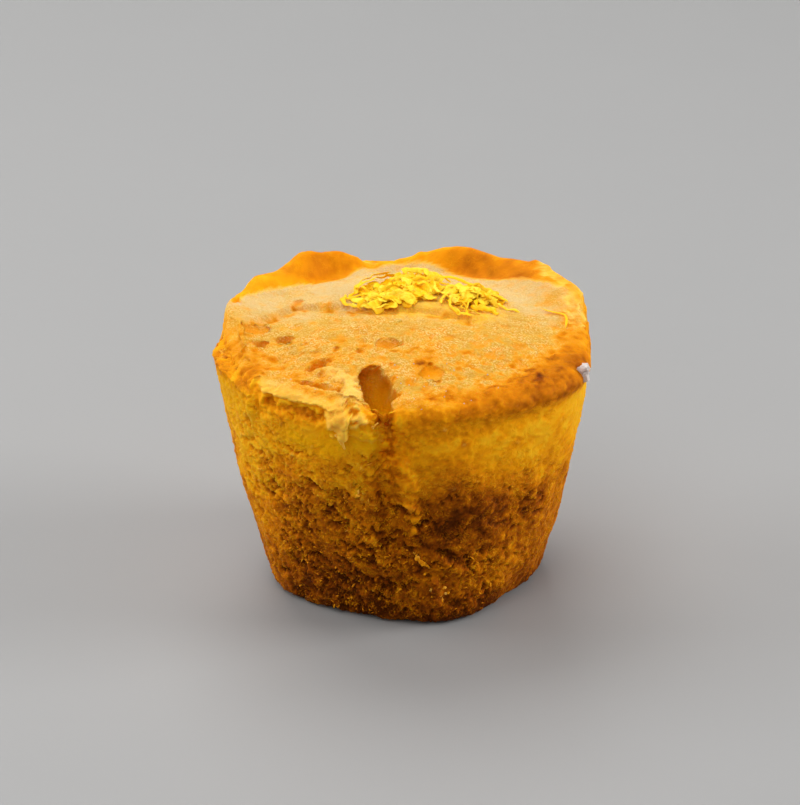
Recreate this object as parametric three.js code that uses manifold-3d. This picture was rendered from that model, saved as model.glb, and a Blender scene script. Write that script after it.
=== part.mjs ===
// A small round financier cake, baked in a deep muffin-shaped mould and turned out whole: a tapered,
// slightly squared wall, a flat baked top with lobes of crust standing along its back edge, and a front edge
// where the crust tore as it left the mould. A low tangle of lemon zest lies on the top.
//
// Units are millimetres and degrees, +Z is up, and the origin is the middle of the flat base.
// Angles run anticlockwise from +X seen from above, so the torn front is at 270.
import * as THREE from "three";
import { mergeVertices } from "three/addons/utils/BufferGeometryUtils.js";
import Module from "manifold-3d";

// ---- Driving sizes -----------------------------------------------------------------------------------
const RIM = 24; // mean radius where the wall meets the top
const HEIGHT = 36; // height of the top's middle
const BASE_SHARE = 0.7; // the base's radius as a share of the rim's
const WALL_SHARE = 0.875; // the wall's height as a share of the whole
const CROWN_DROP = 2; // how far the edge of the top lies below its middle

// Each size that changes around the cake is a mean and its swells: [angle, half-width, amount].
const BASE_RADIUS = {
  mean: BASE_SHARE * RIM,
  swells: [[200, 25, 1], [245, 25, -1], [290, 15, 1], [0, 30, 1.5], [85, 40, 1], [140, 30, 0.5]],
};
const RIM_RADIUS = {
  mean: RIM,
  swells: [[330, 20, 1.5], [35, 25, 2.5], [190, 10, 0.5], [115, 30, 0.5], [270, 30, -0.5]],
};
const WALL_HEIGHT = {
  mean: WALL_SHARE * HEIGHT,
  swells: [[190, 15, 0.5], [75, 30, 3], [120, 25, 3], [20, 30, 1], [250, 30, -0.5]],
};
// The crust turns in over the wall by CROWN_INSET and reaches CROWN_HEIGHT at the edge of the top.
const CROWN_INSET = {
  mean: 2.5,
  swells: [[185, 15, -0.5], [70, 20, -1], [120, 20, -1], [20, 20, -1], [160, 15, -1.5]],
};
const CROWN_HEIGHT = {
  mean: HEIGHT - CROWN_DROP,
  swells: [[70, 15, 3], [120, 15, 3], [45, 15, 1.5], [180, 20, 1.5], [20, 20, 1], [150, 15, 1]],
};
// Share of a step: 0 is a round shoulder, 1 is a flat ledge with a cliff behind it.
const LEDGE = { mean: 0, swells: [[190, 15, 1]] };
// Width over which the crown's height runs out into the top: narrow behind the lobes at the back.
const CROWN_FALL = { mean: 8, swells: [[70, 20, -5], [120, 20, -5], [20, 25, -2]] };
// The rolled lip that the crust makes over the front right of the wall, and the groove beneath it.
const LIP = { mean: 0, swells: [[300, 25, 0.75], [330, 20, 0.75]] };
const LIP_RISE = 1.5;
const LIP_WIDTH = 1.5;
const LIP_GROOVE = 0.5;

const TOP_SAG = 2; // how far the baked top falls away at TOP_SPAN from its middle
const TOP_SPAN = 21;
const TOP_TILT = 0.02; // rise of the top per millimetre towards the back
const FOOT_ROUND = 1.5; // rounding of the base's corner
const WALL_BARREL = 0.25; // how far the wall bulges past a straight taper
const LEAN = -0.25; // the top sits this far to the side of the base

// Folds and tears. The crust within `half` of the line from `from` to `to` moves by `move`; `core` is the
// share of that half-width which moves the whole way. A place is [angle, height] on the wall and its shoulder,
// or [angle, share] on the top, the share running from 0 at its middle to 1 at its edge.
const WALL_FOLDS = {
  tongueOfCrust: { from: [230, 32.5], to: [250, 32.5], half: 2, core: 0.5, move: [-0.5, -1, 0] },
  tipOfTongue: { from: [250, 31.5], to: [250, 28.5], half: 1.5, core: 0.5, move: [0, -1, -0.5] },
  hollowUnderTongue: { from: [230, 29.5], to: [245, 29.5], half: 2, core: 0.25, move: [0.5, 0.5, 0] },
  valleyUnderHole: { from: [265, 30.5], to: [268, 27.5], half: 2.5, core: 0.25, move: [0, 1.5, -0.5] },
  seamRidge: { from: [270, 27], to: [273, 13], half: 2, core: 0, move: [0, -1, 0] },
  seamGroove: { from: [264, 26], to: [267, 13], half: 2.5, core: 0, move: [0, 1, 0] },
};
const TOP_FOLDS = {
  slitOverTongue: { from: [235, 1], to: [250, 1], half: 1, core: 0.25, move: [0, 0.5, -1] },
  sagRoundHole: { from: [258, 0.8], to: [263, 1], half: 3.5, core: 0, move: [0, 0.5, -1.5] },
  terraceCrease: { from: [180, 0.85], to: [145, 0.45], half: 2, core: 0, move: [0, 0, -0.5] },
  bumpBetweenLobes: { from: [97, 1], to: [88, 1], half: 2, core: 0, move: [0, 0, 1] },
};

// Air holes in the top: [angle, share] of the middle of each, its half-width and its depth.
const AIR_HOLES = [
  { at: [200, 0.9], half: 1, depth: 1 },
  { at: [200, 0.7], half: 1, depth: 1 },
  { at: [230, 0.85], half: 2, depth: 1.5 },
  { at: [255, 0.35], half: 1.5, depth: 0.5 },
  { at: [290, 0.7], half: 2, depth: 0.75 },
  { at: [320, 0.65], half: 1.5, depth: 0.5 },
  { at: [150, 0.7], half: 1.5, depth: 0.75 },
];

// The deep hole that the tear left at the front edge: an egg-shaped hollow, sunk and turned about X by `tip`.
const TORN_HOLE = { at: [262, 0.95], sunk: 1, half: [2, 4, 3.5], tip: 40, slices: 20 };

// The wall's gentle unevenness: each wave goes round `turns` times and rises `climb` per millimetre of height.
const WALL_WAVES = [
  { turns: 7, climb: 0.16, swing: 0.14 },
  { turns: 11, climb: -0.31, swing: 0.12 },
  { turns: 17, climb: 0.42, swing: 0.1 },
];

// The zest lies in a low tangle: its outline around ZEST_MIDDLE, and two heaps with a dip between them.
const ZEST_MIDDLE = [1.5, 9.5];
const ZEST_REACH = { mean: 7, swells: [[0, 20, 4.5], [180, 20, 3.5], [85, 30, 1], [270, 35, -2]] };
const ZEST_HEAPS = [
  { at: [-2.5, 9], half: [6.5, 6], height: 2.5 },
  { at: [8, 9], half: [5.5, 5], height: 2 },
];
const ZEST_EDGE = 0.5; // thickness that the tangle keeps at its edge
const ZEST_GAP = 0.3; // clearance between the tangle and the crust

// Facets
const COLUMNS = 104;
const FRONT_CROWDING = 0.35; // how much closer the columns stand at the front than on average
const WALL_ROWS = 23;
const SHOULDER_ROWS = 5;
const TOP_ROWS = 11;
const ZEST_COLUMNS = 36;
const ZEST_ROWS = 6;

// ---- Helpers -----------------------------------------------------------------------------------------
const radians = (degrees) => (degrees * Math.PI) / 180;
const mix = (a, b, share) => a + (b - a) * share;

// A size at an angle: its mean plus a bell-shaped swell around each named angle.
function around(size, angle) {
  return size.swells.reduce((sum, [at, width, amount]) => {
    const away = ((((angle - at + 180) % 360) + 360) % 360) - 180;
    return sum + amount * Math.exp(-((away / width) ** 2));
  }, size.mean);
}

// ---- The cake's plain form -----------------------------------------------------------------------------
// All the sizes of the cake's section at one angle.
function sectionAt(angle) {
  return {
    base: around(BASE_RADIUS, angle),
    rim: around(RIM_RADIUS, angle),
    wall: around(WALL_HEIGHT, angle),
    inset: around(CROWN_INSET, angle),
    crown: around(CROWN_HEIGHT, angle),
    ledge: THREE.MathUtils.clamp(around(LEDGE, angle), 0, 1),
    fall: around(CROWN_FALL, angle),
    lip: around(LIP, angle),
  };
}

// The point at a radius and height on one angle's section, with the cake's lean.
function place(angle, radius, height) {
  const side = (LEAN * height) / HEIGHT;
  return new THREE.Vector3(
    radius * Math.cos(radians(angle)) + side,
    radius * Math.sin(radians(angle)),
    height,
  );
}

// The rolled lip bulges just under the crown, with a groove below it.
function lipAt(section, height) {
  const bulge = Math.exp(-(((height - section.wall - LIP_RISE) / LIP_WIDTH) ** 2));
  const groove = Math.exp(-(((height - section.wall + LIP_RISE) / LIP_WIDTH) ** 2));
  return section.lip * (bulge - LIP_GROOVE * groove);
}

// The wall, from the rounded corner of the base up to where the crust turns in.
function wallPoint(angle, share) {
  const s = sectionAt(angle);
  const height = s.wall * share;
  const corner = THREE.MathUtils.clamp(1 - height / FOOT_ROUND, 0, 1);
  const taper = share * (1 + WALL_BARREL * (1 - share));
  const radius = mix(s.base, s.rim, taper) - FOOT_ROUND * (1 - Math.sqrt(1 - corner * corner));
  const fade = Math.sin(Math.PI * share);
  const wave = WALL_WAVES.reduce(
    (sum, w) => sum + w.swing * Math.sin(w.turns * radians(angle) + w.climb * height),
    0,
  );
  return place(angle, radius + wave * fade + lipAt(s, height), height);
}

// The shoulder: a quarter turn inwards, or on the ledge a flat step and then a cliff.
function shoulderPoint(angle, share) {
  const s = sectionAt(angle);
  const turn = (share * Math.PI) / 2;
  const inward = mix(1 - Math.cos(turn), Math.sin(turn) ** 0.7, s.ledge);
  const upward = mix(Math.sin(turn), 1 - Math.cos(turn), s.ledge);
  const height = mix(s.wall, s.crown, upward);
  return place(angle, s.rim - s.inset * inward + lipAt(s, height) * (1 - share), height);
}

// Height of the baked top: a low dome that the crown's own height takes over near the edge.
function topHeight(angle, radius) {
  const s = sectionAt(angle);
  const toEdge = Math.max(s.rim - s.inset - radius, 0);
  const crown = 1 - THREE.MathUtils.smoothstep(toEdge, 0, s.fall);
  const back = radius * Math.sin(radians(angle));
  const dome = HEIGHT - TOP_SAG * (radius / TOP_SPAN) ** 2 + TOP_TILT * back;
  return mix(dome, s.crown, crown);
}

function topPoint(angle, share) {
  const s = sectionAt(angle);
  const radius = (s.rim - s.inset) * (1 - share);
  return place(angle, radius, topHeight(angle, radius));
}

// ---- Folds, tears and air holes --------------------------------------------------------------------------
function pull(point, fold) {
  const line = new THREE.Line3(new THREE.Vector3(...fold.from), new THREE.Vector3(...fold.to));
  const nearest = line.closestPointToPoint(point, true, new THREE.Vector3());
  const away = nearest.distanceTo(point) / fold.half;
  const share = 1 - THREE.MathUtils.smoothstep(away, fold.core, 1);
  return new THREE.Vector3(...fold.move).multiplyScalar(share);
}

// A place on the wall at a height, or past the wall's top on the quarter turn of the shoulder.
function onWall([angle, height]) {
  const s = sectionAt(angle);
  if (height <= s.wall) return wallPoint(angle, height / s.wall);
  const risen = Math.min((height - s.wall) / (s.crown - s.wall), 1);
  return shoulderPoint(angle, (Math.asin(risen) * 2) / Math.PI);
}

const onTop = ([angle, share]) => topPoint(angle, 1 - share);

const laid = (folds, on) => Object.values(folds).map((fold) => (
  { ...fold, from: on(fold.from).toArray(), to: on(fold.to).toArray() }
));

const airHoleFolds = AIR_HOLES.map(({ at, half, depth }) => {
  const middle = onTop(at).toArray();
  return { from: middle, to: middle, half, core: 0.25, move: [0, 0, -depth] };
});

const allFolds = [...laid(WALL_FOLDS, onWall), ...laid(TOP_FOLDS, onTop), ...airHoleFolds];

function shaped(point) {
  const moved = point.clone();
  for (const fold of allFolds) moved.add(pull(point, fold));
  return moved;
}

// ---- Closed meshes ---------------------------------------------------------------------------------------
// Rings of points, each as long as the next, closed at the first and the last by a fan to a middle point.
function closedSkin(rings, firstMiddle, lastMiddle) {
  const count = rings[0].length;
  const points = [...rings.flat(), firstMiddle, lastMiddle];
  const first = points.length - 2;
  const last = points.length - 1;
  const faces = [];
  for (let i = 0; i < count; i++) {
    const next = (i + 1) % count;
    faces.push(first, next, i);
    for (let row = 0; row + 1 < rings.length; row++) {
      const [a, b] = [row * count + i, row * count + next];
      const [c, d] = [b + count, a + count];
      faces.push(a, b, c, a, c, d);
    }
    faces.push(last, (rings.length - 1) * count + i, (rings.length - 1) * count + next);
  }
  const geometry = new THREE.BufferGeometry().setFromPoints(points);
  geometry.setIndex(faces);
  geometry.computeVertexNormals();
  return geometry;
}

// Angles of the columns, which stand closer together at the front.
function columnAngles(count, crowding) {
  return Array.from({ length: count }, (_, i) => {
    const turn = i / count;
    return 360 * turn - (crowding * 180 * Math.sin(2 * Math.PI * (turn - 0.75))) / Math.PI;
  });
}

// Shares of the way up or in, `lean` above 1 crowding the rows towards the start.
const shares = (rows, lean) => Array.from({ length: rows }, (_, i) => (i / rows) ** lean);

// A closed geometry as a solid that can be cut.
function solidOf(kit, geometry) {
  const bare = new THREE.BufferGeometry();
  bare.setAttribute("position", geometry.getAttribute("position"));
  bare.setIndex(geometry.getIndex());
  const merged = mergeVertices(bare, 1e-4);
  return new kit.Manifold(new kit.Mesh({
    numProp: 3,
    vertProperties: merged.getAttribute("position").array,
    triVerts: new Uint32Array(merged.getIndex().array),
  }));
}

function geometryOf(solid) {
  const { vertProperties, triVerts } = solid.getMesh();
  const geometry = new THREE.BufferGeometry();
  geometry.setAttribute("position", new THREE.BufferAttribute(vertProperties, 3));
  geometry.setIndex(new THREE.BufferAttribute(triVerts, 1));
  geometry.computeVertexNormals();
  return geometry;
}

function holeGeometry() {
  const hollow = new THREE.SphereGeometry(1, TORN_HOLE.slices, TORN_HOLE.slices / 2);
  hollow.scale(...TORN_HOLE.half);
  hollow.rotateX(radians(TORN_HOLE.tip));
  const mouth = onTop(TORN_HOLE.at);
  hollow.translate(mouth.x, mouth.y, mouth.z - TORN_HOLE.sunk);
  return hollow;
}

function cakeGeometry(kit) {
  const angles = columnAngles(COLUMNS, FRONT_CROWDING);
  const wallShares = Array.from({ length: WALL_ROWS }, (_, i) => 1 - (1 - i / WALL_ROWS) ** 1.2);
  const ring = (pointAt, share) => angles.map((angle) => shaped(pointAt(angle, share)));
  const rings = [
    ...wallShares.map((share) => ring(wallPoint, share)),
    ...shares(SHOULDER_ROWS, 1).map((share) => ring(shoulderPoint, share)),
    ...shares(TOP_ROWS, 1.2).map((share) => ring(topPoint, share)),
  ];
  const whole = closedSkin(rings, place(0, 0, 0), place(0, 0, HEIGHT));
  return geometryOf(solidOf(kit, whole).subtract(solidOf(kit, holeGeometry())));
}

// ---- The zest's tangle -------------------------------------------------------------------------------------
// The crust's height under a point of the tangle.
function crustHeight(x, y) {
  const fromMiddle = x - LEAN;
  return topHeight(THREE.MathUtils.radToDeg(Math.atan2(y, fromMiddle)), Math.hypot(fromMiddle, y));
}

function zestThickness(x, y, share) {
  const heaped = ZEST_HEAPS.reduce((sum, heap) => {
    const away = ((x - heap.at[0]) / heap.half[0]) ** 2 + ((y - heap.at[1]) / heap.half[1]) ** 2;
    return sum + heap.height * Math.exp(-away);
  }, 0);
  return ZEST_EDGE + heaped * (1 - share ** 3);
}

function zestGeometry() {
  const angles = columnAngles(ZEST_COLUMNS, 0);
  const ring = (share, thick) => angles.map((angle) => {
    const reach = around(ZEST_REACH, angle) * share;
    const x = ZEST_MIDDLE[0] + reach * Math.cos(radians(angle));
    const y = ZEST_MIDDLE[1] + reach * Math.sin(radians(angle));
    return new THREE.Vector3(x, y, crustHeight(x, y) + ZEST_GAP + thick(x, y, share));
  });
  const outward = Array.from({ length: ZEST_ROWS }, (_, i) => (i + 1) / ZEST_ROWS);
  const rings = [
    ...outward.map((share) => ring(share, () => 0)),
    ...outward.toReversed().map((share) => ring(share, zestThickness)),
  ];
  const [x, y] = ZEST_MIDDLE;
  const underside = new THREE.Vector3(x, y, crustHeight(x, y) + ZEST_GAP);
  const peak = new THREE.Vector3(x, y, underside.z + zestThickness(x, y, 0));
  return closedSkin(rings, underside, peak);
}

// ---- The part ------------------------------------------------------------------------------------------------
const bakedCrumb = new THREE.MeshStandardMaterial({ color: 0xe0a040, roughness: 0.8, metalness: 0 });
const lemonZest = new THREE.MeshStandardMaterial({ color: 0xf9c322, roughness: 0.5, metalness: 0 });

function piece(name, geometry, material) {
  const mesh = new THREE.Mesh(geometry, material);
  mesh.name = name;
  return mesh;
}

const kit = await Module();
kit.setup();

const financier = new THREE.Group();
financier.add(piece("cake", cakeGeometry(kit), bakedCrumb));
financier.add(piece("zest", zestGeometry(), lemonZest));

export default financier;
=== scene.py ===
"""Looks of a small round financier cake.

They are its crust and crumb, the torn front edge, the lemon zest, the sugar, and the studio round it. Lengths
are millimetres until a mesh is made, and angles are degrees anticlockwise from the right, seen from above.
"""

import logging
from collections.abc import Callable
from dataclasses import dataclass, field

import bpy
import numpy as np
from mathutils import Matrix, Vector


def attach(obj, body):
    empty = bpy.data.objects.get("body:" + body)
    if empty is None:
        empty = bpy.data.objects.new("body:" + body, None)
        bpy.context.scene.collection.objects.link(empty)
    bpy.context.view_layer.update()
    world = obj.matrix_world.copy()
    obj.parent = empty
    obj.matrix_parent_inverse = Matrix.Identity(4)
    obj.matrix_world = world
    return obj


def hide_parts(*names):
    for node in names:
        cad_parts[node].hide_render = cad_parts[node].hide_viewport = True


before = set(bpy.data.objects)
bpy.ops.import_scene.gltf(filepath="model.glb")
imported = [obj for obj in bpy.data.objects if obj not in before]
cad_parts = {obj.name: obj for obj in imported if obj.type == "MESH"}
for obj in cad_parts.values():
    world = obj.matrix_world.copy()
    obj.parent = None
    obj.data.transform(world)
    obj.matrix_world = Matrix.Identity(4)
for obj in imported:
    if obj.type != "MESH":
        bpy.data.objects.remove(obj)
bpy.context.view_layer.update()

MM = 0.001  # one millimetre in metres
RIM = 24.0  # the mean radius of the rim
HEIGHT = 36.0  # of the middle of the top
FAR = 9.0  # further than any gap that counts
Array = np.ndarray
Span = tuple[float, float]
Spot = tuple[float, float, float]
Color = tuple[float, float, float]
Socket = bpy.types.NodeSocket
log = logging.getLogger("financier")


# ---- Small helpers ----


def smooth(low: float | Array, high: float | Array, value: Array) -> Array:
    """Smooth step: 0 at low, 1 at high, and the cubic 3t^2 - 2t^3 between; low may lie above high."""
    t = np.clip((value - low) / (high - low), 0.0, 1.0)
    return t * t * (3.0 - 2.0 * t)


def mix(a: float | Array, b: float | Array, share: float | Array) -> Array:
    """The value a share of the way from a to b."""
    return a + (b - a) * share


def bell(away: Array, width: float) -> Array:
    """A bell exp(-(away / width)^2): 1 in the middle and 0.37 one width away."""
    return np.exp(-((away / width) ** 2))


def degrees_from(middle: float, angle: Array) -> Array:
    """How far each angle lies from the middle one, from -180 to 180 degrees."""
    return (angle - middle + 180.0) % 360.0 - 180.0


def unit(vectors: Array) -> Array:
    """Each vector divided by its length."""
    return vectors / np.maximum(np.linalg.norm(vectors, axis=-1, keepdims=True), 1e-12)


@dataclass(frozen=True)
class Around:
    """A size that changes around the cake: a mean, and swells of (angle, half-width, amount) in degrees."""

    mean: float
    swells: tuple[tuple[float, float, float], ...] = ()

    def at(self, angle: Array) -> Array:
        """The size at each angle: the mean plus a bell for each swell.

        Args:
            angle: Degrees round the cake.

        Returns:
            An array like the angles.
        """
        total = np.full_like(angle, self.mean)
        for middle, width, amount in self.swells:
            total = total + amount * bell(degrees_from(middle, angle), width)
        return total


# ---- Noise in space ----


ODD_FACTORS = (374761393, 668265263, 2246822519, 3266489917)
LOW_WORD = np.uint64(0xFFFFFFFF)
NOISE_GAIN = 1.7  # brings the noise to about -1 to 1


def hashed(cells: Array, seed: int) -> Array:
    """Repeatable random numbers from 0 to 1, one for each whole-number cell.

    The three indices are multiplied by large odd numbers and added, then mixed by shifts and products.

    Args:
        cells: Whole numbers in an array (..., 3).
        seed: Which of many unlike patterns to draw.

    Returns:
        An array (...) of numbers from 0 to 1.
    """
    c = cells.astype(np.int64).astype(np.uint64)
    odd = [np.uint64(factor) for factor in ODD_FACTORS]
    start = np.uint64(seed * ODD_FACTORS[3] % 2**32)
    h = (c[..., 0] * odd[0] + c[..., 1] * odd[1] + c[..., 2] * odd[2] + start) & LOW_WORD
    for shift, factor in ((15, odd[2]), (13, odd[3])):
        h = ((h ^ (h >> np.uint64(shift))) * factor) & LOW_WORD
    return (h ^ (h >> np.uint64(16))).astype(np.float64) / 2.0**32


def noise(points: Array, seed: int) -> Array:
    """Smooth noise from about -1 to 1 with features one unit wide.

    Each corner of a point's unit cell has a random slope; the slopes' values at the point are blended by
    the quintic 6t^5 - 15t^4 + 10t^3.

    Args:
        points: Places (..., 3).
        seed: Which pattern to draw.

    Returns:
        An array (...).
    """
    base = np.floor(points)
    f = points - base
    w = f**3 * (f * (f * 6.0 - 15.0) + 10.0)
    total = np.zeros(points.shape[:-1])
    for corner in np.ndindex(2, 2, 2):
        step = np.array(corner, float)
        slope = np.stack([hashed(base + step, seed * 7 + axis) for axis in range(3)], -1) * 2.0 - 1.0
        weight = np.prod(np.where(step > 0, w, 1.0 - w), axis=-1)
        total += weight * ((f - step) * slope).sum(-1)
    return total * NOISE_GAIN


def layered(points: Array, seed: int, layers: int = 3) -> Array:
    """Noise added up in layers, each with half the width and half the height of the one before."""
    return sum(noise(points * 2.0**i, seed + 31 * i) / 2.0**i for i in range(layers))


def nearest_cells(points: Array, seed: int) -> tuple[Array, Array, Array, Array]:
    """Distances to the two nearest of a scatter of points, one in each unit cell.

    Args:
        points: Places (..., 3).
        seed: Which scatter to draw.

    Returns:
        The nearest distance, the second nearest, a random number that belongs to the nearest point, and how
        far above the nearest point each place lies.
    """
    base = np.floor(points)
    first = np.full(points.shape[:-1], FAR)
    second = first.copy()
    tag, rise = np.zeros_like(first), np.zeros_like(first)
    for offset in np.ndindex(3, 3, 3):
        cell = base + (np.array(offset, float) - 1.0)
        jitter = np.stack([hashed(cell, seed * 11 + axis) for axis in range(3)], -1)
        away = points - cell - jitter
        gap = np.linalg.norm(away, axis=-1)
        closer = gap < first
        second = np.where(closer, first, np.minimum(second, gap))
        tag = np.where(closer, hashed(cell, seed * 11 + 5), tag)
        rise = np.where(closer, away[..., 2], rise)
        first = np.where(closer, gap, first)
    return first, second, tag, rise


# ---- Meshes ----


def mesh_object(name: str, points: Array, faces: Array, shade_smooth: bool = True) -> bpy.types.Object:
    """A new object at the origin.

    Args:
        name: The object's and mesh's name.
        points: Places (n, 3) in millimetres.
        faces: Corner numbers (m, 3) or (m, 4), anticlockwise from outside.
        shade_smooth: Whether light runs smoothly over the faces.

    Returns:
        The linked object, with its place in its mesh.
    """
    mesh = bpy.data.meshes.new(name)
    sides = faces.shape[1]
    mesh.vertices.add(len(points))
    mesh.vertices.foreach_set("co", (points * MM).astype(np.float32).ravel())
    mesh.loops.add(faces.size)
    mesh.loops.foreach_set("vertex_index", faces.astype(np.int32).ravel())
    mesh.polygons.add(len(faces))
    mesh.polygons.foreach_set("loop_start", np.arange(0, faces.size, sides, dtype=np.int32))
    mesh.polygons.foreach_set("use_smooth", np.full(len(faces), shade_smooth))
    mesh.update(calc_edges=True)
    mesh.validate()
    made = bpy.data.objects.new(name, mesh)
    bpy.context.scene.collection.objects.link(made)
    return made


def set_mask(made: bpy.types.Object, name: str, values: Array) -> None:
    """Keep one number per vertex on a mesh, for its material to read."""
    layer = made.data.attributes.new(name, "FLOAT", "POINT")
    layer.data.foreach_set("value", values.astype(np.float32))


def vertex_normals(points: Array, triangles: Array) -> Array:
    """Outward unit normals: the cross products of the triangles round a vertex, added up.

    Args:
        points: Places (n, 3).
        triangles: Their corner numbers (m, 3).

    Returns:
        Unit vectors (n, 3).
    """
    a, b, c = (points[triangles[:, i]] for i in range(3))
    face = np.cross(b - a, c - a)
    corners, count = triangles.T, len(points)
    total = [sum(np.bincount(corner, face[:, axis], count) for corner in corners) for axis in range(3)]
    return unit(np.stack(total, -1))


def evened(values: Array, triangles: Array, rounds: int) -> Array:
    """A number per vertex, replaced a few times by the average over the vertex's neighbours.

    Args:
        values: One number per vertex.
        triangles: Corner numbers (m, 3).
        rounds: How many times to average.

    Returns:
        The evened numbers.
    """
    ends = np.concatenate([triangles[:, (0, 1)], triangles[:, (1, 2)], triangles[:, (2, 0)]])
    start, end, count = ends[:, 0], ends[:, 1], len(values)
    share = np.bincount(start, minlength=count) + np.bincount(end, minlength=count)
    for _ in range(rounds):
        values = (np.bincount(start, values[end], count) + np.bincount(end, values[start], count)) / share
    return values


def joined_rings(counts: list[int]) -> Array:
    """Triangles of a closed skin of rings, with a middle point before the first and after the last ring.

    Neighbouring rings have as many points as each other, or the later one has half as many. Point 0 is the
    first middle, the rings follow in turn, and the last point is the last middle.

    Args:
        counts: The number of points in each ring.

    Returns:
        Corner numbers (m, 3), anticlockwise from outside when the rings run anticlockwise and upwards.
    """
    starts = 1 + np.concatenate([[0], np.cumsum(counts)])
    i = np.arange(counts[0])
    found = [np.stack([0 * i, starts[0] + (i + 1) % counts[0], starts[0] + i], -1)]
    for below, above, n, m in zip(starts, starts[1:], counts, counts[1:]):
        i = np.arange(m)
        after = (i + 1) % m
        if n == m:
            found.append(np.stack([below + i, below + after, above + after], -1))
            found.append(np.stack([below + i, above + after, above + i], -1))
        else:
            found.append(np.stack([below + 2 * i, below + 2 * i + 1, above + i], -1))
            found.append(np.stack([below + 2 * i + 1, above + after, above + i], -1))
            found.append(np.stack([below + 2 * i + 1, below + (2 * i + 2) % n, above + after], -1))
    i = np.arange(counts[-1])
    found.append(np.stack([0 * i + starts[-1], starts[-2] + i, starts[-2] + (i + 1) % counts[-1]], -1))
    return np.concatenate(found)


def repeated(triangles: Array, count: int, points: int) -> Array:
    """The triangles of one skin, again for each of a count of skins that have as many points."""
    starts = np.arange(count) * points
    return (triangles[None] + starts[:, None, None]).reshape(-1, 3)


def strips(
    paths: Array, facing: Array, width: Array, thick: Array, cup: float = 0.0, sides: int = 8
) -> tuple[Array, Array]:
    """Flattened strips along paths, each a closed skin.

    A ring of points stands at each place of a path: cosine times half the width to the side and sine times
    half the thickness outwards, less the cup times the squared cosine and the width.

    Args:
        paths: Centre lines (strips, places, 3).
        facing: Where the flat sides face (strips, places, 3).
        width: Widths (strips, places).
        thick: Thicknesses (strips, places).
        cup: How far the sides bend away from the facing, as a share of the width.
        sides: Points in a ring.

    Returns:
        Places (n, 3) and triangles (m, 3).
    """
    along = unit(np.gradient(paths, axis=1))
    side = unit(np.cross(facing, along))
    out = np.cross(along, side)
    turn = 2.0 * np.pi * np.arange(sides) / sides
    aside = np.cos(turn) * width[..., None] / 2.0
    rise = np.sin(turn) * thick[..., None] / 2.0 - cup * np.cos(turn) ** 2 * width[..., None]
    rings = paths[:, :, None] + side[:, :, None] * aside[..., None] + out[:, :, None] * rise[..., None]
    count, places = paths.shape[:2]
    whole = np.concatenate([paths[:, :1], rings.reshape(count, places * sides, 3), paths[:, -1:]], axis=1)
    return whole.reshape(-1, 3), repeated(joined_rings([sides] * places), count, whole.shape[1])


def curve(control: tuple[tuple[float, ...], ...], count: int) -> Array:
    """A smooth line of a count of evenly spaced places, by cutting a few points' corners three times.

    Args:
        control: The points that the line follows.
        count: How many places to return.

    Returns:
        Places (count, 3).
    """
    line = np.array(control, float)
    for _ in range(3):
        cut = np.stack([mix(line[:-1], line[1:], share) for share in (0.25, 0.75)], 1)
        line = np.concatenate([line[:1], cut.reshape(-1, line.shape[1]), line[-1:]])
    run = np.concatenate([[0.0], np.cumsum(np.linalg.norm(np.diff(line, axis=0), axis=1))])
    wanted = np.linspace(0.0, run[-1], count)
    return np.stack([np.interp(wanted, run, line[:, i]) for i in range(line.shape[1])], -1)


def lumps(
    middles: Array, sizes: Array, seed: int, blocky: float = 0.0, rough: float = 0.35
) -> tuple[Array, Array]:
    """Small uneven stones: balls pushed about by noise, scaled along three axes and turned at random.

    Args:
        middles: Places (n, 3).
        sizes: Half-sizes along the three axes (n, 3).
        seed: Which shapes to draw.
        blocky: 0 for round stones and 1 for cubes.
        rough: How far noise pushes the surface, as a share of the size.

    Returns:
        Places (n * k, 3) and triangles.
    """
    rng = np.random.default_rng(seed)
    rings, sides = 5, 7
    tilts = np.pi * (np.arange(rings) + 1) / (rings + 1)
    turns = 2 * np.pi * np.arange(sides) / sides
    tilt, turn = np.meshgrid(tilts, turns, indexing="ij")
    ball = np.stack([np.sin(tilt) * np.cos(turn), np.sin(tilt) * np.sin(turn), -np.cos(tilt)], -1)
    ball = np.concatenate([[[0.0, 0.0, -1.0]], ball.reshape(-1, 3), [[0.0, 0.0, 1.0]]])
    ball = mix(ball, ball / np.abs(ball).max(axis=1, keepdims=True), blocky)
    count = len(middles)
    apart = 9.7 * np.arange(count)[:, None, None]  # each stone reads its own stretch of the noise
    push = noise(ball[None] * 1.3 + apart, seed)
    shape = ball[None] * (1.0 + rough * push[..., None]) * sizes[:, None]
    turned, _ = np.linalg.qr(rng.normal(size=(count, 3, 3)))
    turned = turned * np.sign(np.linalg.det(turned))[:, None, None]
    places = middles[:, None] + shape @ turned
    return places.reshape(-1, 3), repeated(joined_rings([sides] * rings), count, len(ball))


# ---- The cake's form ----


@dataclass(frozen=True)
class Fold:
    """A fold, tear or dent: the crust near a line from start to end moves, fully within the core share."""

    start: Spot
    end: Spot
    half: float
    core: float
    move: Spot

    def share(self, points: Array) -> Array:
        """1 near the line and 0 past the half-width, by a smooth step of the distance to the line.

        Args:
            points: Places (n, 3).

        Returns:
            A number from 0 to 1 for each point.
        """
        a, b = np.array(self.start), np.array(self.end)
        run = b - a
        along = np.clip((points - a) @ run / max(run @ run, 1e-9), 0.0, 1.0)
        away = np.linalg.norm(points - (a + along[:, None] * run), axis=-1) / self.half
        return 1.0 - smooth(self.core, 1.0, away)


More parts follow.
